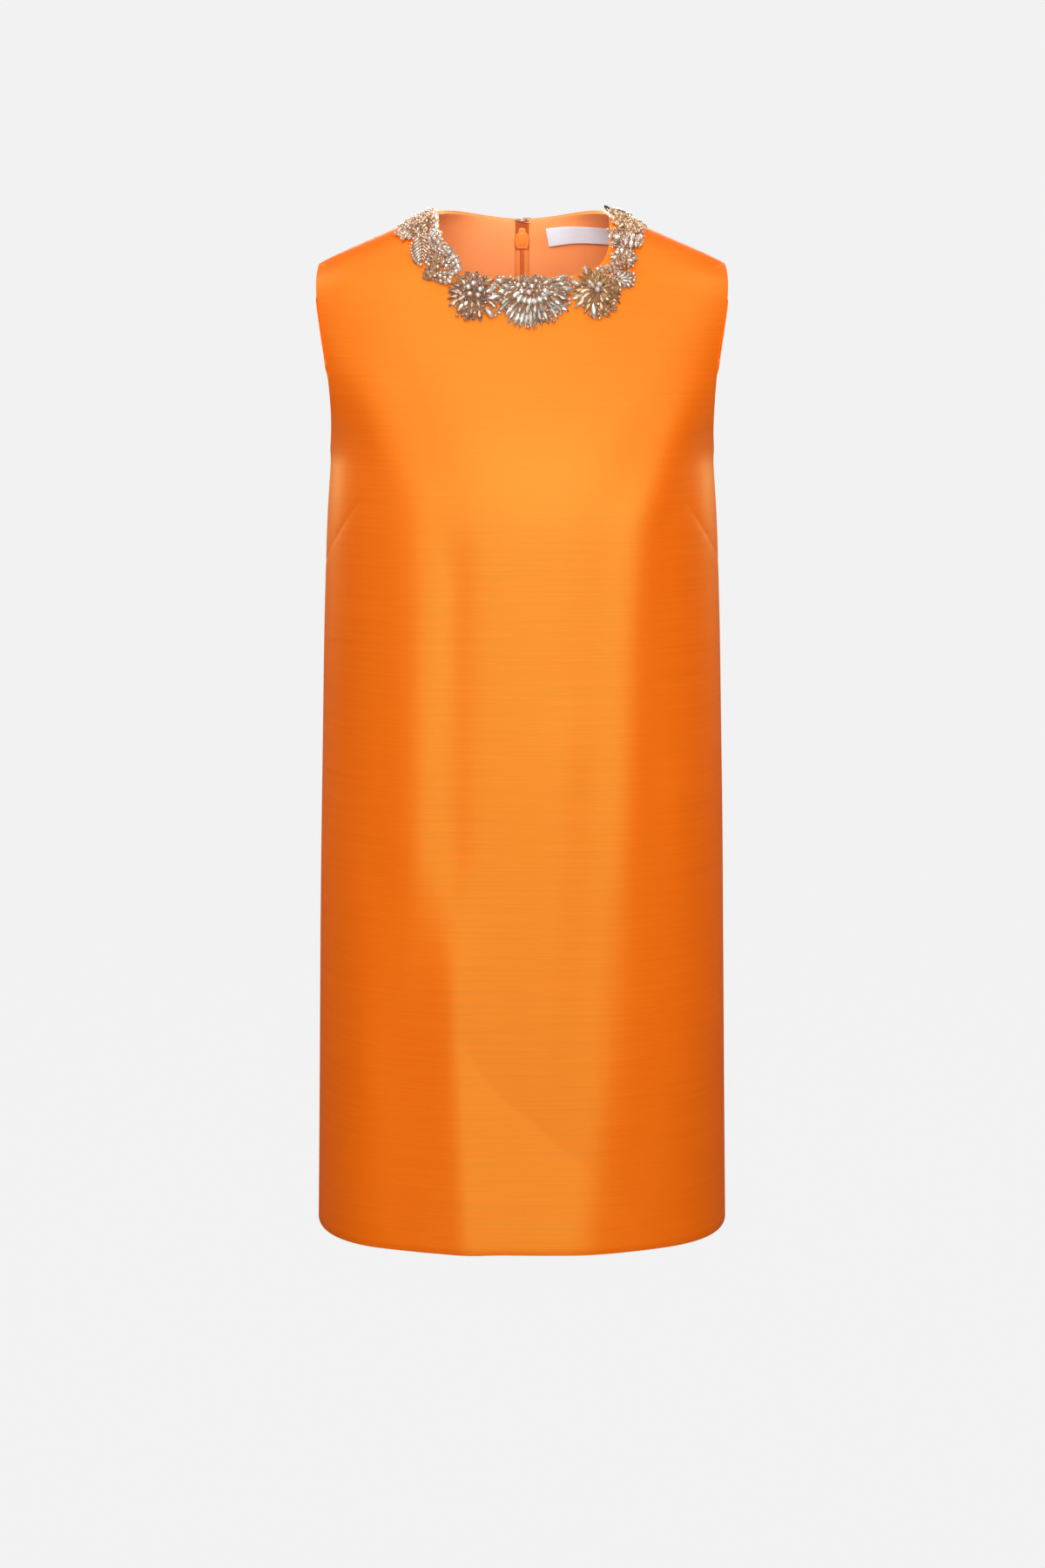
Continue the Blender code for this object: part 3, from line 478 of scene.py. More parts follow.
class Surface:
    """A material and its nodes. Settings that are the same all over go straight on its shader."""

    def __init__(self, name, **even):
        self.material = bpy.data.materials.new(name)
        self.material.use_nodes = True
        self.tree = self.material.node_tree
        self.shader = self.tree.nodes["Principled BSDF"]
        for socket, value in even.items():
            self.shader.inputs[socket.replace("_", " ")].default_value = value

    def node(self, kind, settings=(), sockets=(), output=0):
        """A node of any kind: its settings first, then the values or links of its sockets."""
        made = self.tree.nodes.new("ShaderNode" + kind)
        for name, value in dict(settings).items():
            setattr(made, name, value)
        for place, value in dict(sockets).items():
            if isinstance(value, Shade):
                self.tree.links.new(value.socket, made.inputs[place])
            else:
                made.inputs[place].default_value = value
        return Shade(self, made.outputs[output])

    def feed(self, **links):
        """Links what varies over the surface to the shader."""
        for place, shade in links.items():
            self.tree.links.new(shade.socket, self.shader.inputs[place.replace("_", " ")])

    def mix(self, share, first, second, blend="MIX"):
        """One colour over another."""
        first, second = (value if isinstance(value, Shade) else (*value, 1) for value in (first, second))
        settings = {"data_type": "RGBA", "blend_type": blend}
        return self.node("Mix", settings, {0: share, 6: first, 7: second}, 2)

    def coordinates(self, kind, scale):
        """Object or UV coordinates in metres, scaled along each axis."""
        where = self.node("TexCoord", output=kind)
        return self.node("VectorMath", {"operation": "MULTIPLY"}, {0: where, 1: scale})

    def cloud(self, x, y, z, detail=3.0, roughness=0.5):
        """Cloudy variation from 0 to 1 round a half, with about so many clouds to a metre along each axis."""
        where = self.coordinates("Object", (x, y, z))
        sockets = {"Vector": where, "Scale": 1.0, "Detail": detail, "Roughness": roughness}
        return self.node("TexNoise", (), sockets)

    def threads(self, axis, count):
        """Even round threads across an axis of the cloth, so many to a metre, from 0 to 1."""
        scale = count / THREAD_WAVE
        where = self.coordinates("UV", (scale, 0, 0) if axis == "X" else (0, scale, 0))
        settings = {"wave_type": "BANDS", "bands_direction": axis, "wave_profile": "SIN"}
        return self.node("TexWave", settings, {"Vector": where, "Scale": 1.0, "Distortion": 0.0}, 1)

    def climb(self, value, low, high):
        """How far a value has come from low, 0, to high, 1."""
        return self.node("MapRange", (), {"Value": value, "From Min": low, "From Max": high})

    def attribute(self, name, output):
        """What the mesh itself carries under a name."""
        return self.node("Attribute", {"attribute_name": name}, (), output)

    def bump(self, height, distance, strength=1.0):
        """The surface raised by a height times a distance in metres."""
        return self.node("Bump", (), {"Height": height, "Distance": distance, "Strength": strength})


# ------------------------------------------------------------------------------------ finishes


def satin_finish():
    """Heavy duchess satin: a smooth lustrous face with fine uneven weft threads."""
    satin = Surface("orange_satin", IOR=1.8, Specular_IOR_Level=0.9, Specular_Tint=(0.02, 0.54, 0.11, 1))
    slub = satin.cloud(9, 9, 620, roughness=0.62)
    weft = satin.cloud(60, 60, 2600, 2, 0.6)
    patch = satin.cloud(7, 7, 5, 2)
    streak = (slub - 0.5) * 1.1 + (weft - 0.5) * 0.5 + (patch - 0.5) * 0.35
    colour = satin.mix(satin.climb(streak, -0.5, 0.5), (0.80, 0.112, 0.001), (0.96, 0.154, 0.002))
    rough = 0.43 + (slub - 0.5) * 0.16 + (weft - 0.5) * 0.10
    relief = slub * 0.55 + weft * 0.3 + satin.threads("X", 2400) * 0.15
    satin.feed(Base_Color=colour, Roughness=rough, Normal=satin.bump(relief, 0.05 * MM, 0.8))
    return satin.material


def lining_finish():
    """Matt plain-woven lining."""
    lining = Surface("orange_lining", Sheen_Weight=0.15, Sheen_Roughness=0.5, Sheen_Tint=(1, 0.7, 0.5, 1))
    across, down = lining.threads("X", 1500), lining.threads("Y", 1500)
    cloud = lining.cloud(30, 30, 60)
    light = (cloud - 0.5) * 0.8 + across * down * 0.3 + 0.35
    colour = lining.mix(light, (0.90, 0.30, 0.085), (0.99, 0.36, 0.11))
    rough = 0.62 + (cloud - 0.5) * 0.2
    lining.feed(Base_Color=colour, Roughness=rough, Normal=lining.bump(across + down, 0.06 * MM, 0.6))
    return lining.material


def tape_finish():
    """Zip tape: ribs along its length, crossed by finer picks, and darkened at its top round the slider by a
    painted shade.
    """
    tape = Surface("orange_zip_tape", Specular_IOR_Level=0.4)
    ribs, picks = tape.threads("X", 1100), tape.threads("Y", 1900)
    cloud = tape.cloud(80, 80, 80)
    colour = tape.mix(ribs * 0.6 + cloud * 0.4, (0.82, 0.23, 0.045), (0.96, 0.32, 0.08))
    # Painted shade: the tape turns dark red above a drop, round the slider, standing in for the shadow there.
    drop = tape.node("SeparateXYZ", (), {0: tape.coordinates("Object", (-1, -1, -1))}, 2)
    painted_tape_shade = tape.climb(drop, TAPE_SHADE_DROP, TAPE_SHADE_DROP - TAPE_SHADE_FADE)
    colour = tape.mix(painted_tape_shade, colour, (0.44, 0.075, 0.006))
    rough = 0.66 + (cloud - 0.5) * 0.2
    tape.feed(Base_Color=colour, Roughness=rough, Normal=tape.bump(ribs * 0.7 + picks * 0.3, 0.18 * MM))
    return tape.material


def enamel_finish():
    """Orange enamel on die-cast metal, a little worn on its raised edges."""
    enamel = Surface("orange_enamel", Coat_Roughness=0.12, Coat_IOR=1.5)
    grain = enamel.cloud(900, 900, 900)
    edge = enamel.node("NewGeometry", output="Pointiness")
    wear = enamel.climb(edge + (grain - 0.5) * 0.05, 0.56, 0.66)
    paint = enamel.mix(grain, (0.90, 0.23, 0.034), (1.0, 0.29, 0.055))
    colour = enamel.mix(wear * 0.5, paint, (0.8, 0.5, 0.3))
    rough = 0.30 + (grain - 0.5) * 0.2
    enamel.feed(Base_Color=colour, Roughness=rough, Coat_Weight=0.5 - wear * 0.3)
    enamel.feed(Normal=enamel.bump(grain, 0.02 * MM, 0.5))
    return enamel.material


def coil_finish():
    """Nylon coil teeth."""
    coil = Surface("orange_coil", Specular_IOR_Level=0.6)
    cloud = coil.cloud(500, 500, 900, 2)
    colour = coil.mix(cloud, (0.56, 0.10, 0.008), (0.76, 0.17, 0.02))
    coil.feed(Base_Color=colour, Roughness=0.30 + cloud * 0.2, Normal=coil.bump(cloud, 0.03 * MM, 0.4))
    return coil.material


def thread_finish():
    """Twisted sewing thread."""
    thread = Surface("orange_thread", Sheen_Weight=0.2, Sheen_Tint=(1, 0.7, 0.5, 1))
    ply = thread.cloud(2500, 2500, 2500, 1)
    colour = thread.mix(ply, (0.62, 0.13, 0.015), (0.86, 0.24, 0.04))
    thread.feed(Base_Color=colour, Roughness=0.5 + ply * 0.2, Normal=thread.bump(ply, 0.05 * MM))
    return thread.material


def label_finish():
    """Soft lilac-white satin ribbon."""
    label = Surface("label_satin", Sheen_Weight=0.2, Sheen_Tint=(1, 0.97, 1, 1), Specular_IOR_Level=0.7)
    warp, weft = label.threads("Y", 2600), label.threads("X", 1200)
    cloud = label.cloud(90, 90, 300)
    colour = label.mix((cloud - 0.5) * 0.9 + warp * 0.25 + 0.35, (0.63, 0.70, 0.78), (0.77, 0.83, 0.89))
    relief = label.bump(warp * 0.6 + weft * 0.4, 0.05 * MM, 0.7)
    label.feed(Base_Color=colour, Roughness=0.42 + (cloud - 0.5) * 0.2, Normal=relief)
    return label.material


def wire_finish():
    """Nickel-plated wire."""
    wire = Surface("nickel_wire")
    cloud = wire.cloud(700, 700, 700)
    colour = wire.mix(cloud, (0.34, 0.30, 0.27), (0.56, 0.52, 0.48))
    wire.feed(Base_Color=colour, Roughness=0.26 + cloud * 0.16, Metallic=0.95 + cloud * 0.05)
    wire.feed(Normal=wire.bump(cloud, 0.01 * MM, 0.5))
    return wire.material


def stone_finish():
    """Foil-backed cut glass: each stone has its colour, and each facet a painted brightness that stands in
    for its glints and dark reflections.
    """
    glass = Surface("cut_glass", IOR=1.6, Specular_IOR_Level=0.8, Coat_Roughness=0.03, Coat_IOR=1.6)
    painted_glint = glass.attribute("facet", "Fac")
    grain = glass.cloud(1400, 1400, 1400, 2)
    # Painted reflection: each facet's glint value shades the stone's colour from a dark brown up to full
    # white.
    light = glass.mix(painted_glint, (0.24, 0.20, 0.18), (1.0, 1.0, 1.0))
    colour = glass.mix(1.0, glass.attribute("stone", "Color"), light, "MULTIPLY")
    rough = 0.06 + (grain - 0.5) * 0.05 + (1 - painted_glint) * 0.10
    glass.feed(Base_Color=colour, Roughness=rough, Metallic=0.25 + painted_glint * 0.20, Coat_Weight=0.6 + painted_glint * 0.4)
    return glass.material


def setting_finish():
    """The thin rose-gold cups that hold the stones."""
    setting = Surface("rose_gold_setting")
    grain = setting.cloud(800, 800, 800)
    colour = setting.mix(grain, (0.58, 0.34, 0.21), (0.86, 0.60, 0.42))
    setting.feed(Base_Color=colour, Roughness=0.28 + grain * 0.2, Metallic=0.50 + grain * 0.15)
    return setting.material


def backing_finish():
    """The stitched net under the stones."""
    net = Surface("bronze_net", Specular_IOR_Level=0.4)
    where = net.coordinates("Object", (1100, 1100, 1100))
    cells = net.node("TexVoronoi", {"feature": "F1"}, {"Vector": where})
    cloud = net.cloud(260, 260, 260)
    colour = net.mix(cells * 0.7 + cloud * 0.3, (0.24, 0.10, 0.045), (0.62, 0.30, 0.13))
    net.feed(Base_Color=colour, Roughness=0.45 + cloud * 0.25, Metallic=0.25 + cells * 0.4)
    net.feed(Normal=net.bump(cells, 0.25 * MM))
    return net.material


# ------------------------------------------------------------------------------------ meshes


def new_object(name, mesh, *materials):
    """A mesh as a named object with its materials."""
    obj = bpy.data.objects.new(name, mesh)
    bpy.context.scene.collection.objects.link(obj)
    for material in materials:
        mesh.materials.append(material)
    return obj


def settled(obj):
    """Works the object's modifiers into its mesh."""
    bpy.context.view_layer.update()
    mesh = bpy.data.meshes.new_from_object(obj.evaluated_get(bpy.context.evaluated_depsgraph_get()))
    obj.modifiers.clear()
    old, obj.data = obj.data, mesh
    bpy.data.meshes.remove(old)
    mesh.name = obj.name
    return obj


def grid_mesh(name, grid, outer):
    """A sheet of quads over a grid of points, facing out of the dress or else into it, with UVs in metres."""
    rows, columns = grid.shape[:2]
    index = np.arange(rows * columns).reshape(rows, columns)
    faces = np.stack([index[:-1, :-1], index[:-1, 1:], index[1:, 1:], index[1:, :-1]], -1).reshape(-1, 4)
    points = grid.reshape(-1, 3)
    a, b, c, _ = points[faces[len(faces) // 2]]
    if (np.cross(b - a, c - b) @ normals(a[None])[0] < 0) == outer:
        faces = faces[:, ::-1]
    across, down = (
        np.insert(np.cumsum(np.linalg.norm(np.diff(grid, axis=axis), axis=-1), axis), 0, 0.0, axis)
        for axis in (1, 0)
    )
    places = np.stack([across - across[:, [columns // 2]], -down], -1).reshape(-1, 2)
    mesh = bpy.data.meshes.new(name)
    mesh.from_pydata(points.tolist(), [], faces.tolist())
    mesh.uv_layers.new(name="cloth").data.foreach_set("uv", places[faces.reshape(-1)].reshape(-1))
    mesh.shade_smooth()
    return mesh


def round_edges(obj, width, angle):
    """Adds a bevel on the edges that turn by more than an angle in degrees."""
    bevel = obj.modifiers.new("edge", "BEVEL")
    bevel.width = width
    bevel.segments = EDGE_STEPS
    bevel.limit_method = "ANGLE"
    bevel.angle_limit = math.radians(angle)


def shell(name, grid, wall, *materials, shape=None):
    """A cloth piece: the grid is its outer face, with a thin wall inside it and softly rounded edges."""
    obj = new_object(name, grid_mesh(name, grid, True), *materials)
    if shape:
        shape(obj.data)
    solidify = obj.modifiers.new("wall", "SOLIDIFY")
    solidify.thickness = wall
    solidify.offset = -1
    solidify.material_offset = len(materials) - 1
    round_edges(obj, min(EDGE_ROUND, wall * EDGE_WALL_SHARE), CLOTH_EDGE_ANGLE)
    return settled(obj)


def cut_by(obj, cutter):
    """Cuts a helper's shape out of the object."""
    boolean = obj.modifiers.new("cut", "BOOLEAN")
    boolean.operation = "DIFFERENCE"
    boolean.object = cutter
    boolean.solver = "EXACT"
    settled(obj)


def joined(name, shapes, *materials):
    """One object from shapes of points, faces, a material number each and whether it is smooth."""
    points, faces, numbers, smooth = [], [], [], []
    for shape_points, shape_faces, number, is_smooth in shapes:
        first = len(points)
        points.extend(map(tuple, shape_points))
        faces.extend(tuple(first + corner for corner in face) for face in shape_faces)
        numbers.extend([number] * len(shape_faces))
        smooth.extend([is_smooth] * len(shape_faces))
    mesh = bpy.data.meshes.new(name)
    mesh.from_pydata(points, [], faces)
    mesh.polygons.foreach_set("material_index", numbers)
    mesh.polygons.foreach_set("use_smooth", smooth)
    return new_object(name, mesh, *materials)


def bands(count, around, looped=False):
    """The quads between rings of points, and from the last ring back to the first where they are looped."""
    faces = []
    for ring in range(count if looped else count - 1):
        near, far = ring * around, (ring + 1) % count * around
        for k in range(around):
            after = (k + 1) % around
            faces.append((near + k, near + after, far + after, far + k))
    return faces


def ringed(rings, smooth=False):
    """A shape from closed rings of points, with both its ends closed."""
    count, around = len(rings), len(rings[0])
    ends = [tuple(range(around - 1, -1, -1)), tuple(range((count - 1) * around, count * around))]
    return np.concatenate(rings), bands(count, around) + ends, 0, smooth


# The rings of a rod's domed end: how far beyond the route's end each lies and how wide it is, in radii.
DOME = ((0.6, 0.8), (0.95, 0.3))
NEARLY_UPRIGHT = 0.1


def tube(route, radius, sides):
    """A round rod along a route of points, with domed ends."""
    route = np.asarray(route, float)
    ahead = unit(np.gradient(route, axis=0))
    side = np.cross(ahead[0], (0.0, 0.0, 1.0))
    if np.linalg.norm(side) < NEARLY_UPRIGHT:
        side = np.cross(ahead[0], (0.0, 1.0, 0.0))
    turns = np.arange(sides)[:, None] * TURN / sides
    last = len(route) - 1
    places = [(0, -push, share) for push, share in reversed(DOME)] + [(i, 0, 1.0) for i in range(len(route))]
    places += [(last, push, share) for push, share in DOME]
    rings = []
    for place, push, share in places:
        side = unit(side - ahead[place] * (side @ ahead[place]))
        other = np.cross(ahead[place], side)
        middle = route[place] + ahead[place] * push * radius
        rings.append(middle + radius * share * (np.cos(turns) * side + np.sin(turns) * other))
    return ringed(rings, smooth=True)


# ------------------------------------------------------------------------------------ cloth pieces


def dart_route(sign):
    """The dart's sewn line on the form, from the side seam to the bust point."""
    shares = np.linspace(0, 1, DART_POINTS)
    angles = QUARTER + (DART_POINT_ANGLE - QUARTER) * shares
    drops = DART_SIDE_DROP + (DART_POINT_DROP - DART_SIDE_DROP) * shares + DART_BOW * np.sin(math.pi * shares)
    return on_form(angles, drops, -1) * (sign, 1, 1)


def sew_darts(mesh):
    """Presses the two dart lines into the front, with finer faces along them."""
    routes = [dart_route(sign) for sign in (-1, 1)]
    build = bmesh.new()
    build.from_mesh(mesh)
    for _ in range(DART_CUTS):
        points = np.array([vert.co for vert in build.verts])
        near = np.minimum(*(nearest_on(route, points)[0] for route in routes))
        median = np.median([edge.calc_length() for edge in build.edges])
        longest = DART_FINE_SHARE * max(DART_LINE_WIDTH, median / 2)
        close = [
            edge
            for edge in build.edges
            if edge.calc_length() > longest and min(near[end.index] for end in edge.verts) < DART_FINE_REACH
        ]
        if not close:
            break
        bmesh.ops.subdivide_edges(build, edges=close, cuts=1, use_grid_fill=True)
        build.verts.index_update()
    points = np.array([vert.co for vert in build.verts])
    outwards = normals(points)
    press = np.zeros(len(points))
    for route in routes:
        away, along = nearest_on(route, points)
        fade = np.clip((1 - along) / DART_FADE, 0, 1)
        waves = np.sin(along * DART_PUCKER_WAVES[0]) * np.sin(along * DART_PUCKER_WAVES[1])
        pucker = 1 - DART_PUCKER + DART_PUCKER * waves
        press += fade * DART_LINE_DEPTH * bell(away / DART_LINE_WIDTH)
        press += fade * pucker * DART_HOLLOW_DEPTH * bell(away / DART_HOLLOW_WIDTH)
    for vert, move in zip(build.verts, outwards * press[:, None]):
        vert.co -= Vector(move)
    build.to_mesh(mesh)
    build.free()


def rows_to(drop, grid):
    """How many of the grid's rows start above this height at its first column."""
    return int(np.searchsorted(-grid[:, 0, 2], drop)) + 1


def facing_foot():
    """The row of a back's grid at which its facing ends."""
    return round((SHOULDER_ROWS + ARMHOLE_ROWS) * FACING_END_SHARE)


def cloth_pieces(grids, satin, lining, tape):
    """The front, the two backs, the two back facings and the two zip tapes."""
    pieces = {"front": shell("front", front_grid(), SHELL_WALL, satin, lining, shape=sew_darts)}
    depth = SHELL_WALL + LAYER_GAP
    for side, grid in grids.items():
        rows = grid[: facing_foot() + 1, 1:].copy()
        rows[:, 0] += unit(rows[:, 1] - rows[:, 0]) * SEAM_GAP
        edge, beside = (grid[: rows_to(ZIP_END_DROP, grid), k : k + 1] for k in (0, 1))
        shares = np.linspace(0, 1, TAPE_COLUMNS)
        strip = np.concatenate([edge * (1 - share) + beside * share for share in shares], 1)
        for name, points, wall, *cloths in (
            ("back_", grid, SHELL_WALL, satin, lining),
            ("facing_", inward(rows, depth), FACING_WALL, lining),
            ("tape_", inward(strip, depth), TAPE_WALL, tape),
        ):
            pieces[name + side] = shell(name + side, points, wall, *cloths)
    return pieces


def label_grid():
    """The bare label's outer face, with its two ends folded under and a slightly wavy lower edge."""
    levels = np.linspace(0, 1, LABEL_ROWS + 1)
    drops = LABEL_TOP + LABEL_HEIGHT * levels
    points = on_form(angle_at(LABEL_START + LABEL_SLANT * levels, drops), drops, 1)
    columns = []
    for step in np.linspace(0, 1, LABEL_STEPS + 1):
        outwards = normals(points)
        fold = max(0.0, 1 - min(step, 1 - step) * LABEL_LENGTH / LABEL_FOLD)
        depths = SHELL_WALL + LAYER_GAP + FACING_WALL + LABEL_GAP + LABEL_LIFT * levels
        depths += LABEL_WAVE * levels * math.sin(LABEL_WAVES * step + 1) * (1 - fold)
        depths += LABEL_FOLD_RISE * (1 - fold**2)
        columns.append(points - outwards * depths[:, None])
        ahead = unit(np.cross(outwards, (0, 0, 1.0)))
        rise = (LABEL_TILT * (1 - 2 * step) + LABEL_SLOPE * levels) / LABEL_STEPS
        points = snapped(points + ahead * (LABEL_LENGTH / LABEL_STEPS) + stack(0, 0, rise))
    return np.stack(columns, axis=1)


def stitch_row(route, inwards, pitch, radius):
    """Thread stitches of even length along a route, half sunk into the cloth."""
    along = lengths_along(route)
    count = max(2, round(along[-1] / pitch))
    arch = (np.array(STITCH_ARCH) + STITCH_LIFT) * radius
    shapes = []
    for number in range(count):
        where = (number + np.array(STITCH_PLACES)) / count * along[-1]
        points, towards = (
            np.stack([np.interp(where, along, line[:, axis]) for axis in range(3)], -1)
            for line in (route, inwards)
        )
        shapes.append(tube(points + towards * arch[:, None], radius, STITCH_SIDES))
    return shapes


def sewing(grids, thread):
    """Rows of stitches inside the dress: along each tape and at the foot of each facing."""
    pieces = []
    tape_face = SHELL_WALL + LAYER_GAP + TAPE_WALL
    facing_face = SHELL_WALL + LAYER_GAP + FACING_WALL
    foot = facing_foot()
    for side, grid in grids.items():
        end = rows_to(ZIP_END_DROP, grid)
        line = grid[:end, 0] * (1 - TAPE_STITCH_SHARE) + grid[:end, 1] * TAPE_STITCH_SHARE
        inwards = -normals(line)
        shapes = stitch_row(line + inwards * tape_face, inwards, TAPE_STITCH_PITCH, TAPE_STITCH_RADIUS)
        inner = inward(grid[: foot + 1, 2:], facing_face)
        line = inner[foot] + (inner[foot - 1] - inner[foot]) * FACING_STITCH_SHARE
        shapes += stitch_row(line, -normals(line), FACING_STITCH_PITCH, FACING_STITCH_RADIUS)
        pieces.append(joined("facing_stitches_" + side, shapes, thread))
    return pieces


# ------------------------------------------------------------------------------------ zip and hook

SLIDER_DROP = 20 * MM
SLIDER_HEIGHT = 20 * MM
SLIDER_WIDTH = 13 * MM
SLIDER_THICK = 2.6 * MM
STEM_WIDTH = 2.0 * MM
STEM_HEIGHT = 4.4 * MM
STEM_CLEARANCE = 0.35 * MM
STEM_REACH = -0.4 * MM, 0.7 * MM
STEM_SLOT_REACH = -6 * MM, 3 * MM
PLATE_WIDTH = 6.4 * MM
PLATE_HEIGHT = 6.6 * MM
PLATE_THICK = 1.0 * MM
PLATE_TOP = 0.95
CORNER_POWER = 0.35
CORNER_POINTS = 24
EAR_INNER = 1.9 * MM
EAR_THICK = 1.0 * MM
EAR_HALF_HEIGHT = 1.6 * MM
EAR_RIM = 0.5 * MM
EAR_SUNK = 0.4 * MM
ARC_POINTS = 9
PIN_REACH = EAR_INNER + 1.1 * EAR_THICK
PIN_SIDES = 16
PIN_RADIUS = 0.6 * MM
PIN_LIFT = 3.2 * MM
EYE_RADIUS = 1.55 * MM
EYE_BORE_RADIUS = 0.9 * MM
EYE_HALF_WIDTH = 1.55 * MM
EYE_POINTS = 24
EYE_SECTION = ((0, EYE_BORE_RADIUS), (0, EYE_RADIUS - 0.2 * MM), (0.25 * MM, EYE_RADIUS))
PULL_LENGTH = 24 * MM
PULL_TOP_WIDTH = 2.6 * MM
PULL_END_WIDTH = 5.2 * MM
PULL_THICK = 1.2 * MM
PULL_REST_GAP = 0.4 * MM
PULL_MIDDLE = 0.55
COIL_TOP_DROP = 27 * MM
COIL_END_GAP = 2 * MM
# Where the painted shade on the zip tape's top ends, and how far it takes to fade in.
TAPE_SHADE_DROP = 33 * MM
TAPE_SHADE_FADE = 4 * MM
COIL_PITCH = 1.5 * MM
COIL_HALF_WIDTH = 1.9 * MM
COIL_RADIUS = 0.42 * MM
COIL_SIDES = 5
COIL_OVER_TAPE = 0.8
COIL_WIRE = 0.9
SLIDER_EDGE = 0.22 * MM
PULL_EDGE = 0.14 * MM

# One tooth's loop from the tape, round its head and back: how far across, how far along the zip in pitches,
# and how much further into the dress in the coil's radii.
COIL_LOOP = (
    (COIL_HALF_WIDTH, 0.28, -0.5),
    (0.4 * MM, 0.12, 0.7),
    (-0.75 * MM, 0.0, 0.4),
    (-0.75 * MM, 0.0, -0.4),
    (0.4 * MM, -0.12, -0.7),
    (COIL_HALF_WIDTH, -0.28, -1.2),
)

# The slider's shield and the raised panel on it: how deep each level lies, in the slider's thickness, and
# how large the outline is there.
SHIELD_LEVELS = ((0.8, 0.93), (0.55, 1), (0, 1))
PANEL_LEVELS = ((1, 0.9), (0.7, 1.06))
PANEL_WIDE, PANEL_TALL, PANEL_LOWER = 0.62, 0.66, 0.4 * MM

# The pull tab's face from its edge inwards: height as a share of half its thickness, and how wide and how
# tall its outline is there.
PULL_LEVELS = ((0.7, 1, 1), (1.0, 1, 1), (1.0, 0.72, 0.86), (0.62, 0.66, 0.84))

# The slider's outline across and up, as shares of its half width and half height.
SLIDER_OUTLINE = (
    *((0.25, 1.0), (0.44, 0.93), (0.52, 0.80), (0.55, 0.62), (0.70, 0.52), (0.88, 0.36), (0.98, 0.14)),
    *((1.0, -0.12), (0.97, -0.45), (0.88, -0.78), (0.78, -0.96), (0.70, -1.0)),
)

WIRE_RADIUS = 0.45 * MM
WIRE_LEVEL = 0.85 * MM
BAR_LEVEL = 2.1 * MM
BAR_X = -0.25 * MM
EYE_WIRE_HEIGHT = 4.4 * MM
HOOK_DROP = 4.2 * MM
HOOK_REACH = 8.0 * MM
HOOK_LEG = 5.0 * MM
HOOK_SHANK = 2.9 * MM
HOOK_CURL = 1.25 * MM
HOOK_BILL = 1.2 * MM
CURL_X = 0.9 * MM
WIRE_STEPS = 16
WIRE_SIDES = 12


def back_place(drop):
    """Axes on the centre back's outer surface: X across, Y out of the dress, Z up along the cloth."""
    point = on_form(0.0, drop, 1)
    out = Vector((0, *normals(point[None])[0][1:])).normalized()
    across = Vector((1, 0, 0))
    place = Matrix((across, out, across.cross(out))).transposed().to_4x4()
    place.translation = (0, point[1], point[2])
    return place


def plate_shape(outline, levels):
    """A plate between levels along Y. Each level is how high it is and how far the outline shrinks there."""
    outline = np.asarray(outline, float)
    return ringed([stack(outline[:, 0] * share, level, outline[:, 1] * share) for level, share in levels])


def both_sides(right):
    """A closed outline from its right half, top to bottom."""
    return list(right) + [(-x, z) for x, z in reversed(right) if x > 1e-9]


def moved(shapes, place):
    """Shapes carried to a place."""
    turn = np.array(place)
    return [(np.asarray(points) @ turn[:3, :3].T + turn[:3, 3], *rest) for points, *rest in shapes]


def squared(values, power):
    """Values from -1 to 1, drawn out to the ends by a power below 1 and in to the middle by one above it."""
    return np.sign(values) * np.abs(values) ** power


def rounded(half_x, half_z):
    """A rectangle with rounded corners, as an outline."""
    turns = (np.arange(CORNER_POINTS) + 0.5) * TURN / CORNER_POINTS
    return stack(squared(np.cos(turns), CORNER_POWER) * half_x, squared(np.sin(turns), CORNER_POWER) * half_z)


def finished(obj, width):
    """Softens the sharp edges of a hard piece."""
    build = bmesh.new()
    build.from_mesh(obj.data)
    bmesh.ops.recalc_face_normals(build, faces=build.faces)
    build.to_mesh(obj.data)
    build.free()
    round_edges(obj, width, HARD_EDGE_ANGLE)
    settled(obj)
    obj.data.shade_smooth()
    obj.data.set_sharp_from_angle(angle=math.radians(HARD_CREASE_ANGLE))
    return obj


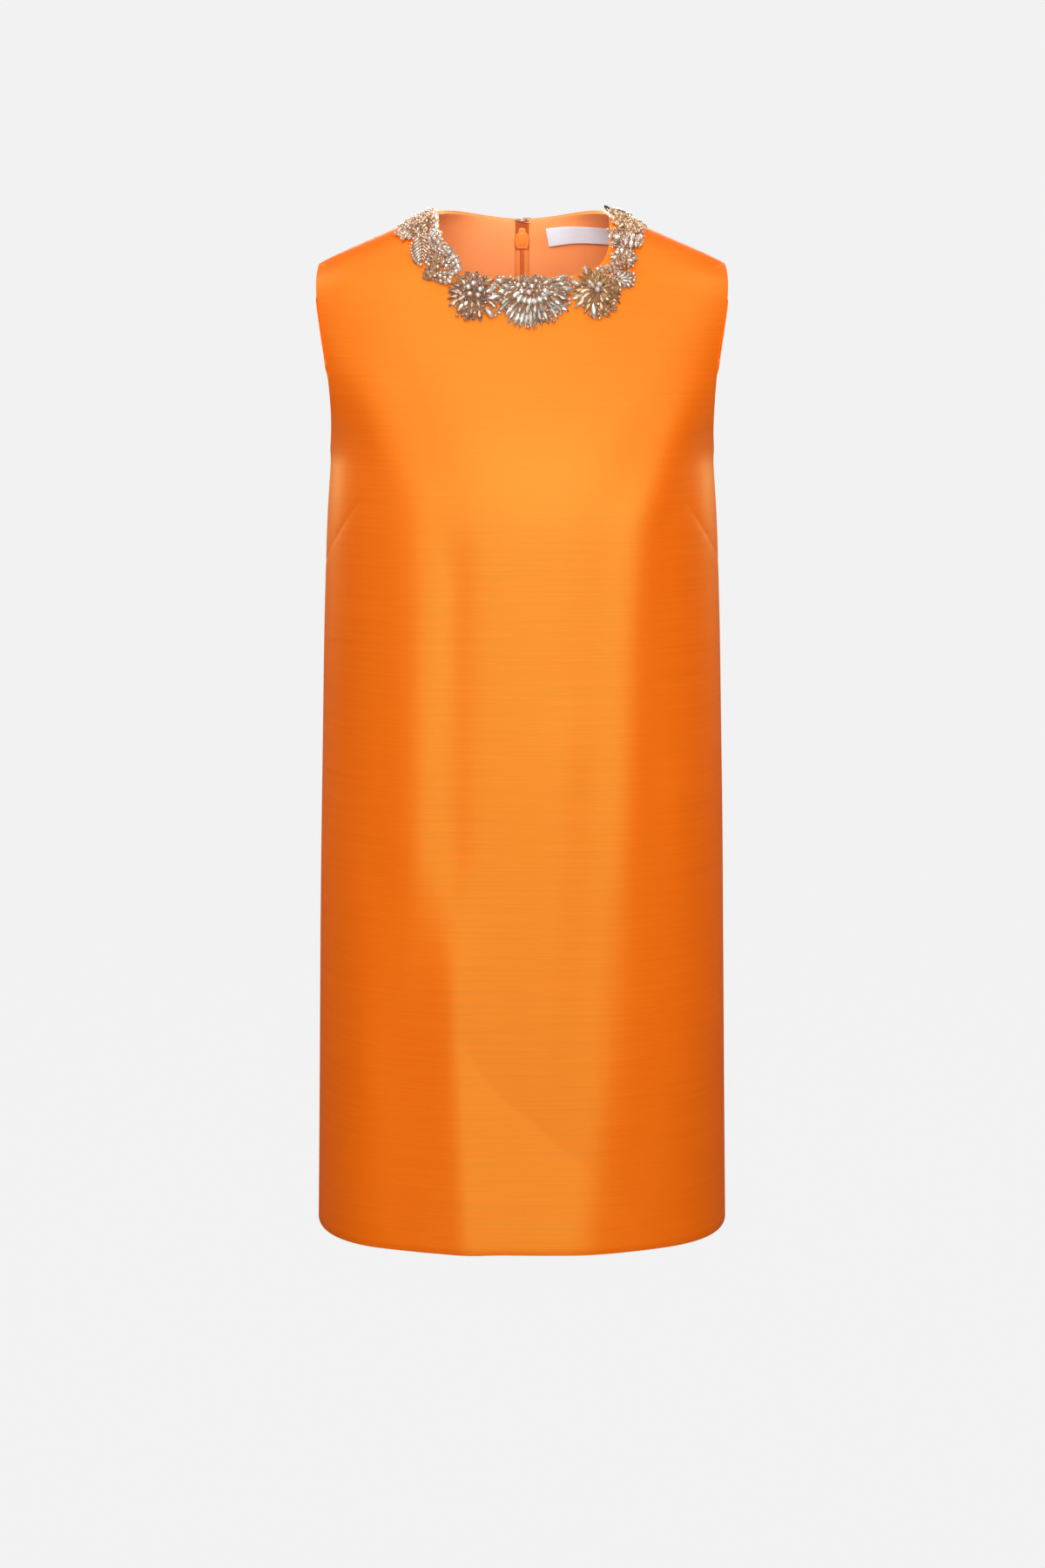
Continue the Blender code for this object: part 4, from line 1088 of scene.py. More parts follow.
def slider(enamel):
    """The zip slider: a domed shield inside the dress, a stem through the seam, and a plate with two ears."""
    inner = -(SHELL_WALL + LAYER_GAP + TAPE_WALL + LAYER_GAP)
    shield = both_sides([(x * SLIDER_WIDTH / 2, z * SLIDER_HEIGHT / 2) for x, z in SLIDER_OUTLINE])
    panel = [(x * PANEL_WIDE, z * PANEL_TALL - PANEL_LOWER) for x, z in shield]
    shapes = [
        plate_shape(outline, [(inner - SLIDER_THICK * depth, share) for depth, share in levels])
        for outline, levels in ((shield, SHIELD_LEVELS), (panel, PANEL_LEVELS))
    ]
    stem, plate = rounded(STEM_WIDTH / 2, STEM_HEIGHT / 2), rounded(PLATE_WIDTH / 2, PLATE_HEIGHT / 2)
    shapes.append(plate_shape(stem, [(inner + STEM_REACH[0], 1), (STEM_REACH[1], 1)]))
    shapes.append(plate_shape(plate, [(LAYER_GAP, 1), (LAYER_GAP + PLATE_THICK, PLATE_TOP)]))
    rise = PIN_RADIUS + EAR_RIM
    turns = np.linspace(0, math.pi, ARC_POINTS)
    rim = [(PIN_LIFT + math.sin(turn) * rise, math.cos(turn) * EAR_HALF_HEIGHT) for turn in turns]
    foot = LAYER_GAP + EAR_SUNK
    side = [(foot, EAR_HALF_HEIGHT), *rim, (foot, -EAR_HALF_HEIGHT)]
    for faces_x in ((-EAR_INNER - EAR_THICK, -EAR_INNER), (EAR_INNER, EAR_INNER + EAR_THICK)):
        shapes.append(ringed([np.array([(x, y, z) for y, z in side]) for x in faces_x]))
    shapes.append(tube([(x, PIN_LIFT, 0) for x in (-PIN_REACH, 0, PIN_REACH)], PIN_RADIUS, PIN_SIDES))
    return finished(joined("slider", moved(shapes, back_place(SLIDER_DROP)), enamel), SLIDER_EDGE)


def pull_tab(enamel):
    """The pull tab: an eye round the slider's pin, and a tapered tab with a raised rim and a hollow face."""
    half = PULL_THICK / 2
    lean = math.asin((PIN_LIFT - half - PULL_REST_GAP) / PULL_LENGTH)
    place = back_place(SLIDER_DROP) @ Matrix.Translation((0, PIN_LIFT, 0)) @ Matrix.Rotation(-lean, 4, "X")
    end_radius = PULL_END_WIDTH / 2
    end_centre = end_radius - PULL_LENGTH
    right = [(PULL_TOP_WIDTH / 2, -(EYE_BORE_RADIUS + EYE_RADIUS) / 2)]
    for turn in np.linspace(0, QUARTER, ARC_POINTS):
        right.append((end_radius * math.cos(turn), end_centre - end_radius * math.sin(turn)))
    outline = np.array(both_sides(right))
    middle = np.array([0, end_centre * PULL_MIDDLE])
    rings = []
    for face in (-1, 1):
        for level, wide, tall in PULL_LEVELS[::face]:
            across, up = (middle + (outline - middle) * (wide, tall)).T
            rings.append(stack(across, face * half * level, up))
    turns = np.arange(EYE_POINTS) * TURN / EYE_POINTS
    section = [(inset - EYE_HALF_WIDTH, radius) for inset, radius in EYE_SECTION]
    section += [(-x, radius) for x, radius in reversed(section)]
    eye = np.concatenate([stack(x, np.cos(turns) * radius, np.sin(turns) * radius) for x, radius in section])
    shapes = [ringed(rings), (eye, bands(len(section), EYE_POINTS, looped=True), 0, False)]
    return finished(joined("pull_tab", moved(shapes, place), enamel), PULL_EDGE)


def coil_teeth(grid, sign, coil):
    """One side of the zip's coil: a loop for each tooth, set between those of the other side."""
    depth = SHELL_WALL + LAYER_GAP + TAPE_WALL + COIL_RADIUS * COIL_OVER_TAPE
    centre = grid[:, 0]
    first = COIL_TOP_DROP + (COIL_PITCH / 2 if sign > 0 else 0)
    shapes = []
    for drop in np.arange(first, ZIP_END_DROP - COIL_END_GAP, COIL_PITCH):
        point = np.array([0.0, np.interp(drop, -centre[:, 2], centre[:, 1]), -drop])
        out = unit(normals(point[None])[0] * (0, 1, 1))
        down = np.array([0, out[2], -out[1]])
        route = [
            point + (sign * x, 0, 0) + down * shift * COIL_PITCH - out * (depth + rise * COIL_RADIUS)
            for x, shift, rise in COIL_LOOP
        ]
        shapes.append(tube(route, COIL_RADIUS * COIL_WIRE, COIL_SIDES))
    return joined("coil_left" if sign > 0 else "coil_right", shapes, coil)


def hook_wires(wire):
    """A wire hook on the right back that reaches through a wire eye on the left, above the slider."""
    place = back_place(HOOK_DROP)
    place.translation -= place.col[1].to_3d() * (SHELL_WALL + LAYER_GAP + FACING_WALL)
    half_loop = EYE_WIRE_HEIGHT / 2
    turns = QUARTER + math.pi * np.linspace(0, 1, WIRE_STEPS + 1)
    loop = [
        (
            BAR_X + half_loop * (1 + math.cos(turn)),
            -(WIRE_LEVEL + (BAR_LEVEL - WIRE_LEVEL) * abs(math.cos(turn))),
            half_loop * math.sin(turn),
        )
        for turn in turns
    ]
    eye = [(HOOK_REACH, -WIRE_LEVEL, half_loop), *loop, (HOOK_REACH, -WIRE_LEVEL, -half_loop)]
    curl = [
        (CURL_X + HOOK_CURL * math.cos(turn), -(BAR_LEVEL + HOOK_CURL * math.sin(turn)), 0)
        for turn in np.linspace(QUARTER, -QUARTER, WIRE_STEPS + 1)
    ]
    hook = [(-HOOK_REACH, -WIRE_LEVEL, 0), (-HOOK_LEG, -WIRE_LEVEL, 0)]
    hook += [(-HOOK_SHANK, -BAR_LEVEL - HOOK_CURL, 0), *curl, (CURL_X - HOOK_BILL, HOOK_CURL - BAR_LEVEL, 0)]
    made = []
    for name, route in (("eye_wire", eye), ("hook_wire", hook)):
        made.append(joined(name, moved([tube(route, WIRE_RADIUS, WIRE_SIDES)], place), wire))
    return made


# ------------------------------------------------------------------------------------ stones

MOTIF_COLUMNS = (
    *("name", "x", "drop", "right", "up", "left", "down"),
    *("points", "notch", "middle_height", "edge_height"),
)
MOTIFS = (
    ("shoulder_cluster_right", -92.5, 12.0, 12.5, 27, 17.5, 24, 11, 0.10, 6.5, 2.4),
    ("leaf_motif", -91, 36.0, 7, 15, 7, 15, 1, 0.0, 3.2, 1.6),
    ("small_flower_upper", -76.2, 44.6, 6.6, 6.8, 6.6, 7.0, 6, 0.16, 3.6, 1.6),
    ("small_flower_lower", -82.3, 57.4, 6.0, 6.2, 6.2, 6.4, 5, 0.16, 3.4, 1.6),
    ("round_cluster", -69.5, 60.5, 5.4, 5.4, 5.4, 6.0, 6, 0.12, 3.6, 1.8),
    ("flower_champagne", -43.9, 70.8, 18.3, 17, 22, 29, 14, 0.18, 6.0, 2.0),
    ("fan_motif", 8, 65.5, 35.5, 8, 31.5, 41, 26, 0.13, 5.0, 1.8),
    ("flower_gold", 67.6, 69.0, 20, 17, 22, 29, 16, 0.18, 6.0, 2.0),
    ("burst_motif", 93.0, 61.0, 6.5, 8.0, 4.6, 9.5, 8, 0.16, 4.0, 1.8),
    ("small_flower_pink", 90.4, 43.8, 11, 9.5, 11, 9, 6, 0.16, 4.0, 1.8),
    ("drop_cluster", 93.5, 28.3, 13, 8, 13.5, 8.5, 9, 0.14, 4.5, 2.0),
    ("shoulder_cluster_left", 92.0, 11.0, 18, 26, 16.5, 18.5, 11, 0.10, 7.5, 2.4),
)
SECTORS_PER_POINT = 6
FEWEST_SECTORS = 30
NET_RINGS = (0.0, 0.2, 0.4, 0.6, 0.78, 0.9)
NET_HEIGHT = 0.42
MOTIF_GAP = 0.4 * MM
RIDGE_SHARE = 0.35

CRESCENT_COLUMNS = ("drop", "inner_edge", "outer_edge")
CRESCENT = (
    (11, 74.2, 77.5),
    (15, 73.4, 78.5),
    (20, 72.2, 80.0),
    (27, 69.0, 82.5),
    (33, 64.5, 82.5),
    (39, 59.0, 71.5),
    (45, 55.4, 68.0),
    (51, 54.0, 66.0),
    (55, 55.2, 63.0),
    (58, 58.6, 61.2),
)
CRESCENT_HEIGHT = 3.4 * MM
CRESCENT_EDGE_HEIGHT = 1.4 * MM
CRESCENT_STEPS = 36
CRESCENT_LANES = 8
CRESCENT_NET_LANES = 0.1, 0.9
CRESCENT_NET_INSET = 1
CRESCENT_REACH = (-83, -58.5), (-53, -10.5)
# Where small stones fit on it, as shares of the way from the inner to the outer edge and from the top to
# the foot.
CRESCENT_ROOM = (-0.02, 1.1), (-0.08, 1.02)

# Colours of the stones. Each stone takes one of its palette's colours.
PALETTES = {
    "clear": ((0.66, 0.57, 0.46), (0.51, 0.42, 0.34), (0.74, 0.66, 0.56), (0.34, 0.27, 0.20)),
    "white": ((0.86, 0.80, 0.71), (0.79, 0.73, 0.64), (0.83, 0.76, 0.66)),
    "champagne": ((0.61, 0.37, 0.20), (0.53, 0.29, 0.15), (0.67, 0.45, 0.27), (0.37, 0.18, 0.09)),
    "rose": ((0.66, 0.38, 0.22), (0.61, 0.31, 0.17), (0.71, 0.45, 0.29)),
    "gold": ((0.66, 0.37, 0.13), (0.54, 0.28, 0.07), (0.42, 0.20, 0.04), (0.76, 0.50, 0.27)),
    "amber": ((0.44, 0.18, 0.05), (0.32, 0.12, 0.03), (0.60, 0.32, 0.12)),
    "bright": ((1.0, 0.99, 0.96),),
    "blush": ((0.69, 0.47, 0.31), (0.64, 0.41, 0.27), (0.72, 0.53, 0.37)),
    "smoke": ((0.13, 0.06, 0.05), (0.08, 0.04, 0.035), (0.22, 0.12, 0.09)),
}

# Pointed stones set outwards from a hub to the places where their tips lie. Columns: motif, length, width,
# lift of the inner and the outer end, palette, hub, tips. Places are x and drop in mm, seen from the front.
FAN_HUB = (8, 66)
PETALS = (
    ("fan_motif", 17, 4.8, 2.2, 0.6, "clear", FAN_HUB, (-21.7, 89.5), (-15.1, 93.5),
     (-12.6, 99.2), (-7.2, 102.2), (-2.2, 103.6), (3, 102.8), (7.4, 103.4), (11.6, 101.2), (17.5, 101.5),
     (23.6, 100.5), (31.9, 95.7), (36, 91.1), (41, 89.5)),
    ("fan_motif", 12, 4.6, 3.4, 1.8, "clear", FAN_HUB, (-20, 84), (-12, 90.5), (-4, 93.5),
     (4, 94.5), (12, 94), (20, 92.5), (28, 89.5), (35.5, 85), (40.5, 80.5)),
    ("fan_motif", 9.5, 5.2, 4.6, 3.2, "white", FAN_HUB, (-9, 78.5), (-5, 82.5), (0.5, 84.6),
     (6.2, 86.2), (11.8, 85.6), (17.5, 83.6), (22.4, 80.2), (25.5, 75.6)),
    ("fan_motif", 12, 4.4, 3.0, 1.4, "clear", FAN_HUB, (43.5, 75.5), (45.5, 70.2), (42, 64.8),
     (36, 70), (33.5, 76), (-19.5, 76), (-17, 70.5)),
    ("flower_champagne", 14, 5.2, 2.4, 0.5, "champagne", (-41.5, 71.5), (-65, 72.4),
     (-65.6, 78.4), (-64.5, 84.5), (-57.2, 89.5), (-52.8, 94.4), (-45, 95.5), (-36, 98.2), (-21.5, 86.5),
     (-20.5, 79.5), (-19.8, 71.6), (-24.4, 60.4), (-30.4, 57.4), (-37.2, 56), (-43.5, 54.9),
     (-49.5, 57.1), (-55.2, 60.5), (-61.8, 65.6)),
    ("flower_champagne", 10.5, 5.0, 4.0, 2.2, "champagne", (-41.5, 71.5), (-58.8, 75.2),
     (-57.4, 81.6), (-51.4, 86.6), (-44, 89), (-36.4, 88.2), (-30, 83.6), (-28.2, 66), (-34, 61),
     (-41.4, 60.4), (-48.4, 61.8), (-55.4, 67.6)),
    ("flower_gold", 16, 4.4, 2.4, 0.5, "gold", (65.5, 70), (41.8, 71.4), (43, 62.5),
     (48, 57.6), (53, 54.6), (58, 51), (64.2, 51.6), (72, 52.6), (87.5, 74.6), (86.5, 82.2), (79.8, 87.8),
     (70.8, 92.2), (54, 91.1), (45.2, 86.8), (41.8, 79)),
    ("flower_gold", 12.5, 4.4, 4.2, 2.2, "gold", (65.5, 70), (47.6, 73.5), (49.6, 65),
     (54.4, 59.4), (61, 56), (68.4, 56), (75.2, 59.6), (80.6, 66.6), (80.8, 74.6), (77.4, 81.4),
     (71.4, 85.6), (55.6, 85.2), (49.8, 80.6)),
    ("flower_gold", 8.5, 2.6, 4.6, 2.8, "white", (83, 61.5), (93.8, 60.6), (94.4, 64.6),
     (91, 57), (85.5, 53.4), (91.4, 68.2), (86.6, 70)),
    ("burst_motif", 7, 2.6, 2.6, 0.9, "white", (89, 61.5), (97.4, 60), (97.2, 64.6),
     (95.4, 55.8), (94.6, 69), (90.4, 53.4), (90, 70)),
)

# Stones laid from one place to another: motif, cut, width, lift of the first and the last end, palette, and
# the two places of each.
LAID = (
    ("shoulder_cluster_right", "drop", 3.9, 3.2, 2.2, "clear", (-108.8, 20.8, -103.8, 16.5),
     (-105.2, 24, -100.2, 18.1), (-103.2, 26.8, -97.8, 19.8), (-99.5, 28.4, -96, 22)),
    ("shoulder_cluster_right", "oval", 5.0, 3.5, 3.5, "champagne", (-93.5, 23, -90, 14.4),
     (-88, 18.8, -84.2, 13.4), (-86.2, 22.8, -83, 17.4), (-87.5, 9.6, -83.5, 8.2),
     (-91.8, 10.2, -89, 13.8), (-83.2, 2.2, -78.8, 4.2), (-80.4, 9.6, -77.4, 6.4)),
    ("shoulder_cluster_right", "oval", 6.2, 3.8, 3.6, "champagne", (-83, 9.8, -77.2, 18.6)),
    ("shoulder_cluster_right", "oval", 3.8, 3.0, 3.0, "bright", (-74.6, 12, -73.8, 20.4),
     (-75.2, 4.6, -74.6, 10.8), (-77.4, 19.4, -74.6, 23.6)),
    ("leaf_motif", "baguette", 1.5, 3.4, 2.4, "white", (-89.6, 25.7, -95.0, 29.8),
     (-88.9, 28.3, -95.2, 32.6), (-88.4, 30.9, -95.2, 35.3), (-88.1, 33.5, -94.9, 38.0),
     (-87.9, 36.1, -94.5, 40.6), (-88.0, 38.7, -93.6, 42.8), (-88.2, 41.3, -92.6, 44.8),
     (-88.5, 43.9, -91.2, 46.6)),
    ("leaf_motif", "baguette", 1.5, 3.4, 2.4, "blush", (-88.9, 25.3, -83.2, 26.6),
     (-88.2, 27.9, -82.6, 30), (-87.7, 30.5, -82.2, 33), (-87.4, 33.1, -82.4, 36.2),
     (-87.2, 35.7, -82.8, 39), (-87.3, 38.3, -83.4, 41.4), (-87.5, 40.9, -84.4, 43.6),
     (-87.8, 43.5, -85.8, 45.8)),
    ("leaf_motif", "drop", 3.0, 2.6, 2.0, "white", (-88.9, 50.6, -88.4, 46.4)),
    ("crescent_motif", "oval", 3.9, 2.2, 2.2, "bright", (-66, 36.4, -62.2, 39.6),
     (-61.6, 39.8, -58.4, 43.6), (-58.2, 43.8, -56.2, 48.2), (-56, 48.4, -55.8, 52.8),
     (-56.2, 53, -58.8, 56.6), (-59.4, 56.4, -62.2, 58.8)),
    ("crescent_motif", "baguette", 2.6, 2.0, 2.0, "clear", (-74.4, 24.6, -70.6, 23.4),
     (-73, 27.8, -69.2, 26.6), (-71.6, 30.8, -67.6, 29.8), (-70, 33.8, -65.8, 32.8)),
    ("crescent_motif", "cushion", 5.4, 3.0, 3.0, "clear", (-64.3, 43.2, -64.7, 49.4)),
    ("small_flower_upper", "oval", 3.8, 3.0, 1.6, "champagne", (-76.6, 45, -81, 46.4),
     (-75.8, 47.6, -79, 51), (-73.4, 48.8, -73.8, 53), (-70.8, 47, -68.4, 50.4), (-70.4, 44, -66.8, 43),
     (-72.4, 42, -71.4, 38), (-75.4, 42.2, -77.6, 38.8), (-76.6, 43.6, -80.8, 42)),
    ("small_flower_lower", "oval", 4.4, 2.8, 1.4, "champagne", (-80.2, 55.8, -84.6, 57.6),
     (-79, 54.2, -80.6, 50.2), (-77.8, 55.6, -74.2, 53.8), (-77.8, 57.2, -75.4, 60.4),
     (-79.6, 57.6, -80.4, 61.8)),
    ("round_cluster", "oval", 3.0, 1.6, 1.6, "rose", (-72.4, 53.4, -69.6, 52.6), (-69, 52.8, -66.4, 52.2),
     (-65.8, 53.6, -63.4, 51.6), (-64, 54.6, -61.8, 53.8)),
    ("flower_champagne", "navette", 4.4, 4.8, 3.2, "bright", (-31.5, 73.6, -22.2, 68),
     (-30.5, 79, -18.2, 76.4), (-31.5, 86.5, -25.6, 95.5)),
    ("fan_motif", "navette", 5.0, 4.2, 2.8, "clear", (17.5, 66.4, 29, 60.8), (22, 70, 34, 65.6),
     (27, 63.4, 41.2, 58.8), (-8, 66.5, -16, 61.8), (-9, 71, -18.5, 66), (-13, 72.6, -22, 73)),
    ("fan_motif", "navette", 4.6, 4.2, 2.8, "white", (-15.5, 64.2, -24, 62.4)),
    ("flower_gold", "navette", 3.8, 6.2, 4.4, "bright", (62.8, 70.8, 57.6, 62.8)),
    ("flower_gold", "navette", 4.8, 4.6, 2.2, "bright", (61.8, 82.4, 62.8, 96.4)),
    ("flower_gold", "navette", 4.4, 3.8, 2.6, "white", (50, 67.4, 42.2, 62.6)),
    ("flower_gold", "navette", 3.6, 3.8, 2.6, "white", (56.5, 58, 54, 49.5)),
    ("small_flower_pink", "oval", 5.6, 3.4, 1.8, "blush", (84.6, 43.4, 77.4, 43.4),
     (85.6, 41.6, 80.4, 38.2), (88, 40.6, 86.2, 35.4), (90.6, 41, 93, 35.6), (91.8, 42.8, 98, 39.2),
     (91.8, 45, 97, 47.6)),
    ("small_flower_pink", "oval", 5.8, 4.4, 3.2, "gold", (87.4, 47.4, 91, 52.8)),
    ("drop_cluster", "navette", 4.0, 4.0, 3.0, "bright", (97.8, 22.6, 95.5, 29.6),
     (103.8, 22.6, 102, 29.6), (95.6, 28, 94.8, 35.8), (101, 28.4, 99.4, 34.8), (91.8, 25.6, 90.2, 33)),
    ("drop_cluster", "cushion", 5.8, 4.2, 3.8, "white", (79.6, 25.4, 86.8, 26.4)),
    ("drop_cluster", "cushion", 5.8, 3.8, 3.4, "clear", (78.6, 31.2, 86.4, 31.8)),
    ("drop_cluster", "oval", 4.6, 4.0, 3.0, "blush", (86.4, 35, 92.6, 33.8)),
    ("shoulder_cluster_left", "navette", 6.2, 4.6, 5.4, "smoke", (76.5, 8.5, 71, 0.4)),
    ("shoulder_cluster_left", "oval", 6.0, 4.8, 4.0, "gold", (83, 10.5, 75.6, 7.6),
     (83.6, 7.8, 78.6, 2.6), (86.4, 6.6, 84.6, 1.8), (88.8, 7, 91.6, 3.4), (90.8, 9, 95.4, 7.2),
     (85.4, 14.2, 80.8, 14.6), (87.6, 15.6, 85.6, 21), (90.6, 13.6, 92.6, 19.4)),
    ("shoulder_cluster_left", "oval", 4.6, 5.4, 5.0, "amber", (85.4, 8.6, 88, 12.4), (89.4, 9.6, 91, 13),
     (84.4, 11.4, 86.6, 14)),
    ("shoulder_cluster_left", "oval", 4.8, 3.2, 2.8, "champagne", (93.6, 13.4, 99, 14.8),
     (93, 22.6, 98.6, 21.4), (84, 24, 89.4, 23), (79.6, 18.6, 83.6, 22.4)),
)

# Round stones: motif, size, lift, palette and their places.
ROUNDS = (
    ("fan_motif", 4.7, 4.6, "clear", (5.8, 62.6), (12.2, 64.2), (15.2, 68.4), (1.8, 67), (13, 73),
     (-2.8, 62.6)),
    ("fan_motif", 4.9, 4.9, "bright", (8.5, 68.6), (-0.5, 72.6), (6.2, 73.6), (-3.6, 67.6), (20, 72.4)),
    ("flower_champagne", 4.8, 6.2, "bright", (-46.8, 69.6), (-42.2, 66.2), (-36.2, 71.5), (-38.2, 76.4),
     (-45.5, 75.5)),
    ("flower_champagne", 4.4, 5.4, "smoke", (-41.6, 71.2), (-50.6, 72.6), (-47.6, 65), (-36.6, 66.4),
     (-32.6, 75)),
    ("flower_champagne", 4.2, 5.0, "smoke", (-33.8, 80.6), (-41.6, 81), (-49, 79.6), (-52.6, 68.4),
     (-41.6, 62.2)),
    ("flower_gold", 4.8, 6.2, "bright", (65.6, 71.8), (67.4, 67.4)),
    ("flower_gold", 3.2, 4.6, "smoke", (61.4, 74.4), (70.6, 73), (71, 67.6), (61.2, 67)),
    ("small_flower_pink", 2.8, 4.0, "rose", (87.4, 44.4), (89.8, 43.4), (89.4, 45.8)),
    ("small_flower_pink", 3.4, 3.0, "white", (79.4, 48.8), (83.4, 48.2), (81, 51.8), (97.6, 44)),
    ("flower_gold", 3.8, 3.2, "white", (77.2, 53.9), (81.4, 55.6), (73.4, 51.4), (70, 54.4), (65.8, 53.2),
     (85.2, 57.4)),
    ("small_flower_upper", 6.4, 3.8, "champagne", (-73.5, 45.4)),
    ("small_flower_lower", 2.8, 3.6, "rose", (-79, 56)),
    ("round_cluster", 3.7, 3.2, "white", (-67.5, 56.8), (-71.5, 59.1), (-63.5, 57), (-62.4, 60.6),
     (-67.2, 60.8), (-71, 63.5), (-66.8, 64.9), (-63, 64)),
    ("leaf_motif", 2.3, 2.0, "white", (-97, 30.4), (-97.5, 33.2), (-97.4, 36), (-96.9, 38.8), (-96, 41.4),
     (-94.8, 43.8), (-93, 46), (-91, 47.9)),
    ("shoulder_cluster_left", 3.4, 3.0, "rose", (97.5, 9.8), (100.6, 12.2), (103.4, 14.6), (105.8, 17.4),
     (106.6, 20.8), (99, 18.4), (95.8, 17.2), (102, 18.2)),
    ("shoulder_cluster_right", 3.4, 3.0, "white", (-94, 7), (-90.5, 5.4), (-86.8, 4.2), (-75.8, 2.4),
     (-97.6, 14.6)),
)

# Small stones scattered over what is left of a motif: its name, their sizes in mm, palettes and the number
# of tries.
SCATTERS = (
    ("shoulder_cluster_right", (3.4, 3.0, 2.6), ("clear", "white", "champagne", "rose"), 2600),
    ("shoulder_cluster_left", (3.4, 3.0, 2.6), ("rose", "gold", "champagne", "clear"), 2600),
    ("drop_cluster", (3.2, 2.8, 2.4), ("clear", "rose", "white"), 1200),
    ("burst_motif", (2.6, 2.2), ("clear", "white"), 600),
    ("small_flower_pink", (2.6, 2.2), ("rose", "champagne"), 500),
    ("flower_champagne", (2.8, 2.3), ("champagne", "smoke"), 900),
    ("flower_gold", (2.8, 2.3), ("gold", "champagne"), 900),
    ("fan_motif", (2.8, 2.3), ("clear", "rose"), 900),
    ("crescent_motif", (3.4, 3.0, 2.5), ("clear", "white", "clear"), 4000),
    ("between", (3.2, 2.8, 2.4), ("clear", "white", "champagne"), 12000),
)
CROWDING = 0.80
SCATTER_LIFTS = 0.5, 1.1
LAID_SINK = 0.6
PETAL_SPREAD = 0.94, 1.06
PETAL_LIFT_SPREAD = -0.2, 0.2
STONE_TILT = 0.07
STONE_COLOUR_SPREAD = 0.86, 1.08
LONG_STONE = 1.5
LONG_STONE_PLACES = (-0.3, 0, 0.3)

# The bands between the motifs, as outlines in mm seen from the front.
BANDS = (
    ((-98, 24), (-84, 19), (-76, 16), (-72.6, 22.5), (-70, 27), (-65.6, 33), (-60.4, 38.6), (-56.8, 43),
     (-54.8, 49), (-56, 55.6), (-60, 60), (-62, 65), (-66, 67), (-72, 65), (-77, 62), (-83.6, 60.6),
     (-85, 52), (-85, 44), (-83, 40), (-82, 32), (-82.6, 26), (-96, 26.4)),
    ((75.6, 18), (80, 20), (100, 20), (107, 22), (105.4, 28), (102.6, 34), (99, 36), (97, 39.5),
     (98.5, 43.4), (96, 50), (93.6, 53.6), (91, 56), (95.6, 60.6), (94, 67), (86, 66), (78, 60), (70, 57),
     (62, 55), (64, 51.5), (72, 49.6), (77.6, 47), (76.4, 43), (79.4, 38.4), (83.6, 35.4), (78, 34)),
    ((-34, 59), (-12, 59.6), (-12, 76), (-15, 86), (-24, 94), (-28, 88)),
    ((34, 60), (44, 59.6), (48, 66), (47, 78), (42, 84), (36, 78)),
)
BAND_REACH = (-100, -94), (108, -14)

# How the outlines of the cuts are drawn in to points or out to corners.
NAVETTE_POINT = 1.9
DROP_POINT = 1.3
DROP_WIDTH = 1.22
CORNERED = {"baguette": 0.32, "cushion": 0.62}

# Facets round a stone over 7 mm, between, and under 2.7 mm.
LARGE_STONE, SMALL_STONE = 7 * MM, 2.7 * MM
LARGE_FACETS, FACETS, SMALL_FACETS = 12, 8, 6
# How tall a stone is: a share of its width and a little more. Then its rings from the foot to the table:
# how wide, how high in its height and how far turned, in facets. Then the rings of its cup: how wide, how
# high and how much further out.
STONE_HEIGHT = 0.42, 0.35 * MM
STONE_RINGS = ((0.8, -0.5, 0), (0.97, 0.28, 0), (0.72, 0.74, 0.5), (0.4, 1, 0))
CUP_RINGS = ((0.86, -0.6, 0.2 * MM), (1, 0.34, 0.16 * MM), (0.96, 0.40, 0))
# Painted brightness of the faces, standing in for glints and dark reflections: round the foot, under it, and
# what the crown's and the table's are drawn from.
FOOT_PAINTED_GLINT, UNDER_PAINTED_GLINT = 0.35, 0.2
CROWN_PAINTED_GLINTS, CROWN_GLINT_SPREAD = (0.1, 0.4, 0.7, 1.0, 1.0), (0.8, 1.0)
TABLE_PAINTED_GLINTS = (0.45, 0.9, 1.0)


def outline(cut, count, shift):
    """A stone's outline as seen from above, in half lengths and half widths."""
    turns = (np.arange(count) + shift) * TURN / count
    across, wide = np.cos(turns), np.sin(turns)
    if cut == "navette":
        wide = squared(wide, NAVETTE_POINT)
    elif cut == "drop":
        wide = wide * np.abs(np.sin(turns / 2)) ** DROP_POINT * DROP_WIDTH
    elif cut in CORNERED:
        across, wide = squared(across, CORNERED[cut]), squared(wide, CORNERED[cut])
    return np.stack([across, wide], -1)


def plain(points, faces, number):
    """A smooth shape of one material, the same bright white on every face."""
    return points, faces, number, True, [(1, 1, 1)] * len(faces), [1.0] * len(faces)


